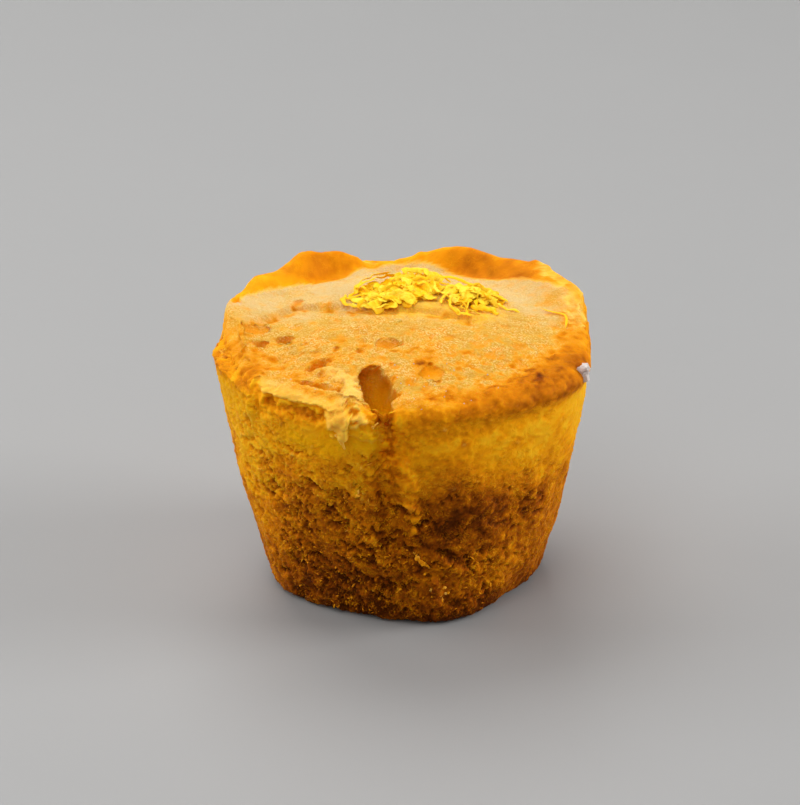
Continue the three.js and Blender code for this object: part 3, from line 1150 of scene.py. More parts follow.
@dataclass(frozen=True)
class CakeSkin:
    """The whole outside of the cake as one closed skin, with its folds, holes and pores.

    `crowding` draws the columns towards the front, and `wall_crowding` the wall's rings towards the top. The
    top's rings have half the points past `outer_share` of the way in, and a quarter past `middle_share`.
    """

    form: CakeForm = FORM
    columns: int = 456
    crowding: float = 0.36
    base_rows: int = 5
    wall_rows: int = 128
    wall_crowding: float = 1.1
    shoulder_rows: int = 22
    top_rows: int = 72
    outer_share: float = 0.42
    middle_share: float = 0.76
    top_starts: Span = (0.35, 0.95)
    folds: tuple[Fold, ...] = (
        # The front: the crust sags round the torn hole, over its valley, the seam's grooves and a lump.
        Fold(on_top(258, 0.8), on_top(263, 1.0), 3.5, 0.0, (0.0, 0.5, -1.5)),
        Fold(on_wall(265, 30.5), on_wall(268, 27.5), 2.5, 0.25, (0.0, 1.5, -0.5)),
        Fold(on_wall(264, 26), on_wall(267, 13), 2.0, 0.25, (0.0, 1.0, 0.0)),
        Fold(on_wall(277, 24), on_wall(279, 13), 1.5, 0.25, (0.0, 0.25, 0.0)),
        Fold(on_wall(282, 7), on_wall(284, 4), 1.0, 0.25, (0.0, -0.75, 0.0)),
        # The bump between the lobes, and the step at the left with the edge of its ledge.
        Fold(on_top(95, 1.0), on_top(85, 1.0), 2.0, 0.0, (0.0, 0.0, 1.0)),
        Fold(on_top(180, 1.0), on_top(195, 1.0), 1.75, 0.25, (1.25, 0.0, 0.0)),
        Fold(on_wall(180, 32), on_wall(200, 32), 1.25, 0.25, (-0.25, 0.0, 0.25)),
        # The rim, lifted from the left over both lobes to the right, and its small tooth.
        Fold(on_top(165, 1.0), on_top(145, 1.0), 4.0, 0.0, (-0.5, 0.25, 0.5)),
        Fold(on_top(145, 1.0), on_top(125, 1.0), 4.0, 0.0, (-0.5, 0.0, 1.0)),
        Fold(on_top(113, 1.0), on_top(107, 1.0), 2.5, 0.0, (0.25, 0.0, 0.75)),
        Fold(on_top(80, 1.0), on_top(55, 1.0), 4.0, 0.0, (0.0, 0.0, 0.75)),
        Fold(on_top(45, 1.0), on_top(25, 1.0), 5.0, 0.0, (0.5, 0.5, 1.0)),
        Fold(on_top(40, 1.0), on_top(45, 1.0), 0.75, 0.0, (0.25, 0.0, 0.5)),
        # The foot, drawn in at the right.
        Fold(on_wall(325, 1), on_wall(345, 3), 5.5, 0.0, (-0.75, 0.5, 0.0)),
    )
    fold_wander: float = 0.4
    # browner in the recess left of the strap: painted shade
    recess: Patch = Patch(
        (on_wall(219, 33), on_wall(221, 30)), (1.0, 1.0), (0.0, 0.5, 0.0),
        soft=0.5, baked=0.26, uneven=0.7,
    )
    pale_ridge: Patch = Patch(
        (on_wall(217, 33), on_wall(218, 29)), (0.25, 0.5), (-0.25, -0.25, 0.0),
        soft=0.3, baked=0.1, fresh=0.5, uneven=0.8,
    )
    # browner under the strap: a painted shadow
    under_strap: Patch = Patch(
        (on_wall(225, 31.5), on_wall(245, 31.5)), (0.75, 0.75), (0.25, 0.75, 0.0),
        soft=0.5, baked=0.45, uneven=0.5,
    )
    strap: Patch = Patch(
        (on_wall(222, 33.5), on_wall(235, 33.5), on_wall(248, 33)), (1.0, 0.9, 0.3),
        (-0.25, -0.75, 0.0), soft=0.3, hinge=(36.0, 34.0), baked=0.12, cream=0.4, brim=0.5, uneven=0.2,
    )
    # browner in the slit: painted shade
    slit: Patch = Patch(
        (on_top(232, 0.95), on_top(248, 0.95)), (0.4, 0.6), (0.0, 0.5, -0.75),
        soft=0.4, baked=0.4, uneven=0.3,
    )
    shard: Patch = Patch(
        (on_top(235, 0.75), on_top(243, 0.8)), (0.75, 1.0), (0.0, 0.0, 0.25),
        soft=0.4, cream=0.5, uneven=0.6,
    )
    crumb_body: Patch = Patch(
        (on_wall(252, 31), on_wall(260, 30)), (1.5, 1.0), (0.0, -0.5, 0.0),
        soft=1.0, baked=0.05, fresh=0.6, brim=0.2, uneven=2.0,
    )
    crumb_column: Patch = Patch(
        (on_top(247, 0.8), on_top(252, 0.95), on_wall(258, 31.5)), (0.75, 1.25, 0.75),
        (0.0, -0.5, 0.25), soft=0.35, cream=0.6, uneven=1.0,
    )
    flake: Patch = Patch(
        (on_wall(249, 33), on_wall(250, 31.5), on_wall(252, 29)), (1.25, 1.25, 0.4),
        (0.0, -1.25, 0.0), soft=0.3, baked=0.15, cream=0.4, brim=0.5, uneven=0.6,
    )
    # browner in the valley beside the seam's ridge: painted shade
    seam_valley: Patch = Patch(
        (on_wall(264, 32.5), on_wall(266, 30), on_wall(268, 20)), (1.25, 0.75, 0.75),
        (0.0, 0.75, -0.25), soft=0.6, baked=0.55, uneven=1.0,
    )
    seam_ridge: Patch = Patch(
        (on_wall(271, 30), on_wall(272, 22), on_wall(274, 15)), (0.25, 0.5, 0.25),
        (0.0, -0.5, 0.0), soft=0.6, baked=0.4, uneven=1.0,
    )
    pale_rim: Patch = Patch(
        (on_top(40, 1.0), on_top(25, 1.0), on_top(5, 1.0)), (0.5, 1.0, 0.75),
        (0.25, 0.0, -0.25), soft=0.5, baked=0.3, cream=0.25, brim=0.75, uneven=1.5,
    )
    torn_hole: Hollow = Hollow(
        on_top(260, 0.85, -0.5), 2.0, 4.5, 4.0, turn=15.0, into=(0.0, 0.6, -0.8), uneven=0.15
    )
    air_holes: tuple[Hollow, ...] = (
        Hollow(on_top(195, 0.85), 1.0, 1.0, 1.25),
        Hollow(on_top(195, 0.7), 1.0, 1.0, 1.25, 30.0),
        Hollow(on_top(228, 0.75), 1.75, 0.75, 1.5, 40.0),
        Hollow(on_top(255, 0.35), 1.5, 1.25, 0.75),
        Hollow(on_top(285, 0.7), 1.25, 1.5, 0.5),
        Hollow(on_top(320, 0.65), 0.75, 0.75, 0.25),
        Hollow(on_top(150, 0.7), 0.75, 1.0, 0.5),
        Hollow(on_top(182, 0.85), 1.75, 1.25, 0.5, 20.0),
        Hollow(on_top(162, 1.0), 0.75, 0.75, 0.75),
        Hollow(on_top(240, 0.5), 0.5, 0.5, 0.5),
        Hollow(on_top(225, 0.55), 0.5, 0.75, 0.5),
    )
    fresh_runs: tuple[Fold, ...] = (
        Fold(on_wall(248, 28.5), on_wall(262, 29), 2.5, 0.25, (0.0, 0.0, 0.0)),
        Fold(on_wall(233, 27.5), on_wall(247, 27), 2.5, 0.0, (0.0, 0.0, 0.0)),
    )
    fresh_share: float = 0.75
    fresh_ragged: float = 0.6
    most_fresh: float = 0.85

    def stretches(self) -> list[Stretch]:
        """The runs of rings from the base's middle to the top's middle; the top's rings thin out inwards.

        Returns:
            The runs in order.
        """
        form, columns = self.form, self.columns
        wall = 1.0 - (1.0 - np.arange(self.wall_rows) / self.wall_rows) ** self.wall_crowding
        shoulder = np.arange(self.shoulder_rows) / self.shoulder_rows
        top = np.arange(self.top_rows) / self.top_rows
        outer, middle = int(self.top_rows * self.outer_share), int(self.top_rows * self.middle_share)
        return [
            Stretch(form.base, np.linspace(0.0, 1.0, self.base_rows + 1)[1:-1], columns),
            Stretch(form.wall, wall, columns),
            Stretch(form.shoulder, shoulder, columns),
            Stretch(form.top, top[:outer], columns),
            Stretch(form.top, top[outer:middle], columns // 2),
            Stretch(form.top, top[middle:], columns // 4),
        ]

    def patches(self) -> tuple[Patch, ...]:
        """The torn patches in the order in which they are laid on, each over the ones before it.

        Returns:
            The patches.
        """
        seam = (self.seam_valley, self.seam_ridge)
        left = (self.recess, self.pale_ridge, self.under_strap, self.slit, self.strap, self.shard)
        return (*seam, *left, self.crumb_body, self.crumb_column, self.flake, self.pale_rim)

    def angles(self, count: int) -> Array:
        """Angles of a ring's points, a sine of the turn crowding them towards the front."""
        turn = np.arange(count) / count
        return 360.0 * turn - self.crowding * 180.0 / np.pi * np.sin(2.0 * np.pi * (turn - 0.75))

    def plain(self) -> Skin:
        """The plain form's rings, from the middle of the base to the middle of the top.

        Returns:
            The skin, with no masks yet.
        """
        form = self.form
        points = [form.place(np.zeros(1), np.zeros(1), np.zeros(1))]
        top = [np.zeros(1)]
        counts = []
        for run in self.stretches():
            angle, share = (grid.ravel() for grid in np.meshgrid(self.angles(run.points), run.shares))
            points.append(run.part(angle, share))
            over = {form.shoulder: smooth(*self.top_starts, share), form.top: np.ones_like(share)}
            top.append(over.get(run.part, np.zeros_like(share)))
            counts += [run.points] * len(run.shares)
        points.append(form.top(np.zeros(1), np.ones(1)))
        top.append(np.ones(1))
        places = np.concatenate(points)
        angle = np.degrees(np.arctan2(places[:, 1], places[:, 0])) % 360.0
        return Skin(places, joined_rings(counts), places.copy(), angle, np.concatenate(top))

    def build(self) -> Skin:
        """Lays the folds, the torn patches, the holes and the pores on the plain form.

        Returns:
            The skin, with its masks.
        """
        skin = self.plain()
        ragged = layered(skin.plain / 1.1, 3, 2)
        jagged = layered(skin.plain / 1.2, 5, 3)
        names = ("pore", "deep", "torn", "browning_and_shade", "fresh", "cream")
        skin.masks = {name: np.zeros(len(skin.points)) for name in names}
        wander = np.stack([noise(skin.plain / 2.2, 8 + axis) for axis in range(3)], -1)
        for fold in self.folds:
            share = fold.share(skin.plain + self.fold_wander * wander)
            skin.points = skin.points + share[:, None] * np.array(fold.move)
        fresh = np.max([run.share(skin.plain) for run in self.fresh_runs], axis=0)
        fresh = self.fresh_share * fresh + self.fresh_ragged * ragged * fresh
        skin.masks["fresh"] = np.clip(fresh, 0.0, self.most_fresh)
        for patch in self.patches():
            patch.apply(skin, jagged)
        for i, hollow in enumerate((self.torn_hole, *self.air_holes)):
            skin.points, deep = hollow.moved(skin.points, ragged)
            name = "deep" if i == 0 else "pore"
            skin.masks[name] = np.maximum(skin.masks[name], deep)
        skin.normals = vertex_normals(skin.points, skin.triangles)
        OpenCrumb().apply(skin)
        Browning().apply(skin)
        skin.points[:, 2] = np.maximum(skin.points[:, 2], 0.0)
        skin.normals = vertex_normals(skin.points, skin.triangles)
        return skin

    def crust(self, skin: Skin) -> bpy.types.Object:
        """The skin as a mesh with its masks.

        Args:
            skin: The finished skin.

        Returns:
            The linked object.
        """
        made = mesh_object("cake_crust", skin.points, skin.triangles)
        for name in ("baked", "open", "top_skin", "pore", "deep", "fresh", "cream", "painted_zest_glow"):
            set_mask(made, name, skin.masks[name])
        made.data.materials.append(BakedCrust().material())
        return made


# ---- Loose crumb, the torn tip and the sugar ----


@dataclass(frozen=True)
class Cluster:
    """Crumb bits heaped along a line: its ends, how far the bits stray, how many, and their half-size."""

    start: Spot
    end: Spot
    spread: float
    count: int
    size: float


@dataclass(frozen=True)
class CrumbBits:
    """Small crumb bits on the rims of the wall's pores, and two clusters of them low on its front.

    A bit on the wall has a half-size in the range of `wall_size`, times `shape` along its three axes.
    """

    scattered: int = 600
    wall_size: Span = (0.07, 0.2)
    shape: Spot = (1.8, 0.8, 0.35)
    sunk: float = 0.04
    lowest: float = 1.0
    clusters: tuple[Cluster, ...] = (
        Cluster(on_wall(282, 6.5), on_wall(284, 4.5), 0.5, 30, 0.17),
        Cluster(on_wall(276, 11), on_wall(279, 9.5), 0.4, 14, 0.15),
    )

    def build(self, skin: Skin) -> bpy.types.Object:
        """Scatters the bits over the skin by how open it is, adds the clusters, and makes one mesh of all.

        Args:
            skin: The finished skin.

        Returns:
            The linked object.
        """
        rng = np.random.default_rng(5)
        rims = skin.masks["rim"] * skin.masks["open"] * (1.0 - 0.8 * skin.masks["pore"])
        weight = rims * (skin.points[:, 2] > self.lowest)
        chosen = rng.choice(len(weight), self.scattered, replace=False, p=weight / weight.sum())
        middles = [skin.points[chosen] - self.sunk * skin.normals[chosen]]
        size = rng.uniform(*self.wall_size, (self.scattered, 1))
        sizes = [size * rng.uniform(0.5, 1.3, (self.scattered, 3)) * self.shape]
        light = 1.0 - skin.masks["baked"][chosen]
        tones = [np.clip(0.75 * light + rng.uniform(-0.25, 0.25, self.scattered), 0.0, 0.9)]
        for cluster in self.clusters:
            share = rng.uniform(0.0, 1.0, (cluster.count, 1))
            away = rng.normal(0.0, cluster.spread, (cluster.count, 3)) * (1, 0.5, 1)
            middles.append(mix(np.array(cluster.start), np.array(cluster.end), share) + away)
            sizes.append(cluster.size * rng.uniform(0.5, 1.4, (cluster.count, 3)))
            tones.append(rng.uniform(0.35, 0.95, cluster.count))
        places, faces = lumps(np.concatenate(middles), np.concatenate(sizes), 21, rough=0.8)
        tone = np.concatenate(tones)
        made = mesh_object("crumb_bits", places, faces)
        set_mask(made, "tone", np.repeat(tone, len(places) // len(tone)))
        made.data.materials.append(LooseCrumb().material())
        return made


@dataclass(frozen=True)
class Scrap:
    """A ragged scrap of crumb or crust along a line.

    It has its widths at even steps, its thickness, the way its flat side faces, how rough it is, and its
    tones from the flat side to the edge.
    """

    line: tuple[Spot, ...]
    widths: tuple[float, ...]
    thick: float
    facing: Spot
    rough: float
    tone: Span


@dataclass(frozen=True)
class TornEdge:
    """Ragged scraps that stand free of the cake: the flake's thin tip, a splinter, and two on the wall."""

    scraps: tuple[Scrap, ...] = (
        Scrap(
            (on_wall(251, 30, 1.0), on_wall(252, 29, 1.25), on_wall(253, 28, 1.25)),
            (0.75, 0.5, 0.15), 0.3, (-0.1, -1.0, 0.2), 0.08, (0.7, 0.95),
        ),
        Scrap(
            (on_wall(261, 31, 0.25), on_wall(262, 31.5, 0.75), on_wall(263, 32, 1.0)),
            (0.5, 0.25, 0.1), 0.2, (-0.1, -1.0, 0.3), 0.08, (0.7, 0.95),
        ),
        Scrap(
            (on_wall(282, 7), on_wall(283, 5.5), on_wall(285, 4)),
            (0.5, 1.25, 0.75), 0.7, (0.2, -1.0, 0.0), 0.4, (0.35, 0.8),
        ),
        Scrap(
            (on_wall(275, 11, 0.25), on_wall(278, 10, 0.25), on_wall(280, 9.5, 0.25)),
            (0.5, 0.75, 0.5), 0.5, (0.1, -1.0, 0.0), 0.35, (0.3, 0.7),
        ),
    )
    places: int = 40
    sides: int = 24

    def scrap(self, scrap: Scrap, number: int) -> tuple[Array, Array, Array]:
        """One scrap: a flattened tube of uneven width whose skin noise pushes in and out.

        Args:
            scrap: Its line, sizes and tones.
            number: Which shape to draw.

        Returns:
            Places, triangles and tones.
        """
        share = np.linspace(0.0, 1.0, self.places)
        width = np.interp(share, np.linspace(0.0, 1.0, len(scrap.widths)), scrap.widths)
        wander = np.stack([share * 7.0, 0.0 * share + number, 0.0 * share], -1)
        width = width * (1.0 + 0.3 * layered(wander, 61, 3))
        thick = scrap.thick * np.sqrt(np.clip(5.0 * (share + 0.04) * (1.04 - share), 0.05, 1.0))
        facing = np.tile(np.array(scrap.facing), (1, self.places, 1))
        line = curve(scrap.line, self.places)[None]
        places, corners = strips(line, facing, width[None], thick[None], sides=self.sides)
        push = 0.8 * layered(places / 1.1, 61 + number, 2) - 0.7 * np.abs(noise(places / 0.5, 70)) + 0.2
        places = places + scrap.rough * push[:, None] * vertex_normals(places, corners)
        edge = np.abs(np.cos(2.0 * np.pi * np.arange(self.sides) / self.sides))
        edge = np.concatenate([[1.0], np.tile(edge, self.places), [1.0]])
        return places, corners, np.clip(mix(*scrap.tone, smooth(0.5, 1.0, edge + 0.3 * push)), 0.0, 1.0)

    def build(self) -> bpy.types.Object:
        """The scraps as one mesh.

        Returns:
            The linked object.
        """
        points, faces, tones = [], [], []
        for number, row in enumerate(self.scraps):
            places, corners, tone = self.scrap(row, number)
            faces.append(corners + sum(len(done) for done in points))
            points.append(places)
            tones.append(tone)
        made = mesh_object("torn_scraps", np.concatenate(points), np.concatenate(faces))
        set_mask(made, "tone", np.concatenate(tones))
        made.data.materials.append(LooseCrumb().material())
        return made


@dataclass(frozen=True)
class SugarGrains:
    """Fine sugar grains on the front of the top, and one large crystal of packed blocks on the right edge."""

    count: int = 24
    size: Span = (0.04, 0.1)
    front: Span = (-10.0, -20.0)
    crystal: Spot = on_wall(335, 33)
    blocks: int = 9
    block_size: Span = (0.4, 0.7)
    block_spread: Spot = (0.5, 0.5, 0.8)

    def build(self, skin: Skin) -> bpy.types.Object:
        """Scatters the grains over the top towards the front, and clusters blocks into the crystal.

        Args:
            skin: The finished skin.

        Returns:
            The linked object.
        """
        rng = np.random.default_rng(9)
        whole = skin.masks["deep"] + skin.masks["torn"] < 0.05
        weight = skin.top * smooth(*self.front, skin.plain[:, 1]) * whole
        chosen = rng.choice(len(weight), self.count, replace=False, p=weight / weight.sum())
        cluster = np.array(self.crystal) + rng.uniform(-1.0, 1.0, (self.blocks, 3)) * self.block_spread
        middles = np.concatenate([skin.points[chosen], cluster])
        grains = rng.uniform(*self.size, (self.count, 3))
        sizes = np.concatenate([grains, rng.uniform(*self.block_size, (self.blocks, 3))])
        places, faces = lumps(middles, sizes, 33, blocky=0.9, rough=0.2)
        made = mesh_object("sugar_grains", places, faces, shade_smooth=False)
        made.data.materials.append(Sugar().material())
        return made


# ---- The zest ----


@dataclass(frozen=True)
class Curl:
    """One long shred of zest: an arc round a middle in plan, from one height over the crust to another.

    `reach` is the arc's two half-widths, `start` and `sweep` are degrees anticlockwise from the right.
    """

    middle: Span
    reach: Span
    start: float
    sweep: float
    rise: Span
    width: float

    def line(self, places: int) -> Array:
        """Its centre line (places, 3): x and y by cosine and sine, the height evenly from end to end.

        Args:
            places: How many places it has.

        Returns:
            Places in plan, and heights over the crust.
        """
        turn = np.radians(self.start + self.sweep * np.linspace(0.0, 1.0, places))
        x = self.middle[0] + self.reach[0] * np.cos(turn)
        y = self.middle[1] + self.reach[1] * np.sin(turn)
        return np.stack([x, y, np.linspace(*self.rise, places)], -1)


@dataclass(frozen=True)
class Heap:
    """A heap of short shreds: its middle in plan, its spread, its level over the crust, and its counts."""

    x: float
    y: float
    spread: float
    level: float
    thin: int
    broad: int


@dataclass(frozen=True)
class Mound:
    """A low mound of packed zest under the shreds: its middle in plan, its half-widths and its height."""

    x: float
    y: float
    wide: float
    deep: float
    level: float


@dataclass(frozen=True)
class ZestTangle:
    """The tangle of lemon zest: long curls, heaps of thin and broad short shreds, and mounds under them.

    A range of widths or lengths is drawn from evenly. `bend` is the most that a short shred turns, in
    radians; `scatter` is how far the shreds stray, as a share of the spread; `lift` and `arch` are how far
    they stand over the crust; `sink` and `drop` are how far the mounds go under it and stay below level.
    """

    form: CakeForm = FORM
    curls: tuple[Curl, ...] = (
        Curl((-2.5, 8.5), (4.0, 4.0), 190, -110, (0.5, 2.0), 0.5),
        Curl((-2.0, 8.0), (4.5, 3.5), 170, -90, (1.0, 2.0), 0.75),
        Curl((-6.0, 7.0), (2.0, 3.0), 150, 120, (0.25, 0.25), 0.5),
        Curl((-4.0, 5.0), (3.0, 1.5), 190, 150, (0.25, 0.25), 0.5),
        Curl((-5.0, 6.0), (1.5, 2.0), 250, 120, (0.25, 0.5), 0.5),
        Curl((1.5, 12.5), (1.5, 1.5), 200, -230, (2.0, 2.0), 0.75),
        Curl((2.0, 12.0), (2.0, 1.5), 20, -140, (2.0, 1.5), 0.5),
        Curl((6.5, 7.0), (4.0, 4.5), 120, -130, (2.0, 0.25), 0.5),
        Curl((8.0, 9.5), (4.0, 4.0), 170, 110, (1.5, 0.5), 0.5),
        Curl((9.0, 7.0), (3.0, 3.0), 100, -90, (1.5, 0.5), 0.75),
        Curl((8.0, 4.5), (2.0, 3.0), 130, 110, (1.0, 0.25), 0.5),
        Curl((12.0, 6.5), (1.0, 2.5), 190, -190, (0.5, 0.25), 0.75),
        Curl((10.5, 5.0), (1.0, 1.5), 90, 180, (0.5, 0.25), 0.75),
        Curl((8.0, 3.5), (1.5, 2.0), 180, 120, (0.25, 0.25), 0.5),
        Curl((-3.5, 7.5), (3.5, 3.0), 200, -130, (0.25, 1.0), 0.35),
        Curl((1.5, 14.0), (1.5, 1.0), 190, -250, (1.5, 2.0), 0.5),
    )
    heaps: tuple[Heap, ...] = (
        Heap(-0.5, 7.5, 3.0, 1.5, thin=14, broad=30),
        Heap(0.5, 11.0, 2.5, 2.0, thin=10, broad=12),
        Heap(-4.0, 6.5, 2.0, 0.5, thin=8, broad=3),
        Heap(4.0, 11.0, 2.0, 1.0, thin=8, broad=6),
        Heap(3.0, 13.0, 2.0, 2.5, thin=8, broad=6),
        Heap(8.5, 7.5, 3.0, 1.5, thin=18, broad=16),
        Heap(11.5, 6.5, 1.5, 1.0, thin=8, broad=3),
        Heap(8.0, 4.5, 1.5, 0.5, thin=5, broad=1),
    )
    mounds: tuple[Mound, ...] = (Mound(0.0, 8.5, 3.5, 3.0, 1.5), Mound(8.5, 7.5, 3.0, 2.0, 1.0))
    mound_tone: float = 0.3
    broad_width: Span = (1.0, 2.25)
    thin_width: Span = (0.25, 0.6)
    broad_from: float = 0.9
    broad_length: Span = (1.8, 3.4)
    thin_length: Span = (1.8, 4.5)
    bend: float = 2.6
    broad_bend: float = 0.4
    scatter: float = 0.55
    lift: float = 0.18
    arch: float = 0.9
    broad_arch: float = 0.35
    thick: Span = (0.08, 0.14)
    sink: float = 0.4
    drop: float = 0.15
    places: int = 26

    def main_shreds(self) -> tuple[Array, Array]:
        """The long shreds' centre lines in space, and their widths.

        Returns:
            Centre lines (shreds, places, 3), and widths.
        """
        lines = np.stack([curl.line(self.places) for curl in self.curls])
        lines[..., 2] += self.form.crust_height(lines[..., 0], lines[..., 1])
        return lines, np.array([curl.width for curl in self.curls])

    def short_shreds(self, rng: np.random.Generator) -> tuple[Array, Array]:
        """Short curled shreds: each runs with a turning heading from a place in a heap, and arches up.

        The heading at a share t is a random start plus a random turn times t plus a sine; the height is the
        crust's, plus a level in the heap's bell, plus an arch sin(pi * t).

        Args:
            rng: Draws the random numbers.

        Returns:
            Centre lines (shreds, places, 3), and widths.
        """
        owner = np.repeat(np.arange(len(self.heaps)), [heap.thin + heap.broad for heap in self.heaps])
        broad = np.concatenate([np.arange(heap.thin + heap.broad) >= heap.thin for heap in self.heaps])
        rows = np.array([(heap.x, heap.y, heap.spread, heap.level) for heap in self.heaps])
        x, y, spread, level = rows[owner].T
        count = len(owner)
        t = np.linspace(0.0, 1.0, self.places)
        lengths = [rng.uniform(*span, count) for span in (self.broad_length, self.thin_length)]
        length = np.where(broad, *lengths)
        bend = np.where(broad, self.broad_bend, 1.0) * rng.uniform(-self.bend, self.bend, count)
        heading = rng.uniform(0, 2 * np.pi, count)[:, None] + bend[:, None] * t
        wave = 2 * np.pi * t[None] * rng.uniform(0.6, 1.6, (count, 1)) + rng.uniform(0, 6, (count, 1))
        heading = heading + 0.5 * np.sin(wave)
        step = (length / self.places)[:, None]
        away = rng.normal(0.0, self.scatter, (2, count)) * spread
        px = (x + away[0])[:, None] + np.cumsum(np.cos(heading) * step, axis=1) - length[:, None] * 0.25
        py = (y + 0.75 * away[1])[:, None] + np.cumsum(np.sin(heading) * step, axis=1)
        off_middle = (px - x[:, None]) ** 2 + 1.4 * (py - y[:, None]) ** 2
        fall = np.exp(-(off_middle / (spread[:, None] ** 2 * 1.1)))
        rise = rng.uniform(0.05, 1.0, (count, 1)) * level[:, None] * fall + self.lift
        arch = rng.uniform(0.0, self.arch, (count, 1)) * np.where(broad, self.broad_arch, 1.0)[:, None]
        pz = self.form.crust_height(px, py) + rise + arch * np.sin(np.pi * t)
        drawn = [rng.uniform(*span, count) for span in (self.broad_width, self.thin_width)]
        return np.stack([px, py, pz], -1), np.where(broad, *drawn)

    def packed(self, mound: Mound) -> tuple[Array, Array]:
        """A mound as a closed skin.

        Rings run from under the crust out to an oval and in over the top; the height over the crust is the
        level times 1 - r^2, plus layered noise that leaves folds on it.

        Args:
            mound: Where it lies, and its sizes.

        Returns:
            Places and triangles.
        """
        sides, rings = 48, 14
        share = np.concatenate([np.linspace(0.1, 1.0, rings), np.linspace(0.95, 0.05, 2 * rings)])
        over = np.concatenate([np.zeros(rings), np.ones(2 * rings)])
        r, turn = np.meshgrid(share, 2.0 * np.pi * np.arange(sides) / sides, indexing="ij")
        px, py = mound.x + mound.wide * r * np.cos(turn), mound.y + mound.deep * r * np.sin(turn)
        flat = np.stack([px, py, 0.0 * px], -1)
        relief = 0.5 * layered(flat / 1.3, 27, 3) - 0.5 * np.abs(noise(flat / 0.8, 29))
        heaped = mound.level * (1.0 - r * r) + relief * (1.0 - r**4) - self.drop
        pz = self.form.crust_height(px, py) + np.where(over[:, None] > 0.0, heaped, -self.sink)
        crust = self.form.crust_height(np.array([mound.x]), np.array([mound.y]))[0]
        low, high = ([[mound.x, mound.y, crust + rise]] for rise in (-self.sink, mound.level - self.drop))
        places = np.concatenate([low, np.stack([px, py, pz], -1).reshape(-1, 3), high])
        return places, joined_rings([sides] * (3 * rings))

    def ribbons(self, paths: Array, widths: Array, rng: np.random.Generator) -> tuple[Array, Array]:
        """The skins of the shreds, each crumpled, twisted, tapered at both ends and a little cupped.

        Args:
            paths: Centre lines (shreds, places, 3).
            widths: The width of each shred.
            rng: Draws how each one leans and twists.

        Returns:
            Places and triangles.
        """
        count = len(paths)
        t = np.linspace(0.0, 1.0, self.places)
        taper = np.clip(np.minimum(t, 1.0 - t) * 11.0, 0.0, 1.0) ** 0.5 * 0.8 + 0.2
        wander = np.stack(np.broadcast_arrays(np.arange(count)[:, None] * 3.1, t * 3.0, 0.5), -1)
        width = widths[:, None] * taper * (1.0 + 0.4 * layered(wander, 17, 2))
        thick = np.clip(0.14 * widths, *self.thick)[:, None] * (0.35 + 0.65 * taper)
        crumpled = np.stack([layered(paths / 1.3, 23 + axis, 2) for axis in range(3)], -1)
        paths = paths + np.where(widths > self.broad_from, 0.3, 0.25)[:, None, None] * crumpled
        lean = rng.uniform(-0.9, 0.9, (count, 1)) + rng.uniform(-1.3, 1.3, (count, 1)) * t
        lean = np.where(widths[:, None] > self.broad_from, 0.5 * lean, lean)
        side = unit(np.cross(np.array([0.0, 0.0, 1.0]), unit(np.gradient(paths, axis=1))))
        upward = unit(np.array([0.0, -0.35, 1.0]))
        facing = upward * np.cos(lean)[..., None] + side * np.sin(lean)[..., None]
        return strips(paths, facing, width, thick, 0.08, 10)

    def build(self) -> bpy.types.Object:
        """All the shreds and the mounds as one mesh, with the tone of each.

        Returns:
            The linked object.
        """
        rng = np.random.default_rng(14)
        long_lines, long_widths = self.main_shreds()
        short_lines, short_widths = self.short_shreds(rng)
        paths = np.concatenate([long_lines, short_lines])
        points, faces = self.ribbons(paths, np.concatenate([long_widths, short_widths]), rng)
        points = points + 0.06 * layered(points / 0.7, 19, 2)[:, None] * vertex_normals(points, faces)
        tone = np.repeat(rng.uniform(0.2, 1.0, len(paths)), len(points) // len(paths))
        for mound in self.mounds:
            places, corners = self.packed(mound)
            faces = np.concatenate([faces, corners + len(points)])
            points = np.concatenate([points, places])
            tone = np.concatenate([tone, np.full(len(places), self.mound_tone)])
        made = mesh_object("zest_tangle", points, faces)
        set_mask(made, "tone", tone)
        made.data.materials.append(LemonPeel().material())
        return made


@dataclass(frozen=True)
class StrayShred:
    """A stray shred away from the heap, near the right edge of the top."""

    line: tuple[Spot, ...] = (
        on_top(20, 0.8, 0.25), on_top(15, 0.85, 0.25),
        on_top(10, 0.95, 0.25), on_top(0, 0.95, 0.25),
    )
    width: float = 0.35
    thick: float = 0.15
    cup: float = 0.05
    facing: Spot = (0.1, 0.0, 1.0)
    tone: float = 0.1
    places: int = 18

    def build(self) -> bpy.types.Object:
        """The shred as a mesh on the crust, tapered at both ends.

        Returns:
            The linked object.
        """
        line = curve(self.line, self.places)[None]
        t = np.linspace(0.0, 1.0, self.places)
        taper = np.clip(np.minimum(t, 1.0 - t) * 6.0, 0.15, 1.0)[None]
        facing = np.zeros_like(line) + self.facing
        points, faces = strips(line, facing, self.width * taper, self.thick * taper, self.cup, 10)
        made = mesh_object("stray_shreds", points, faces)
        set_mask(made, "tone", np.full(len(points), self.tone))
        made.data.materials.append(LemonPeel().material())
        return made


# ---- Finishes ----


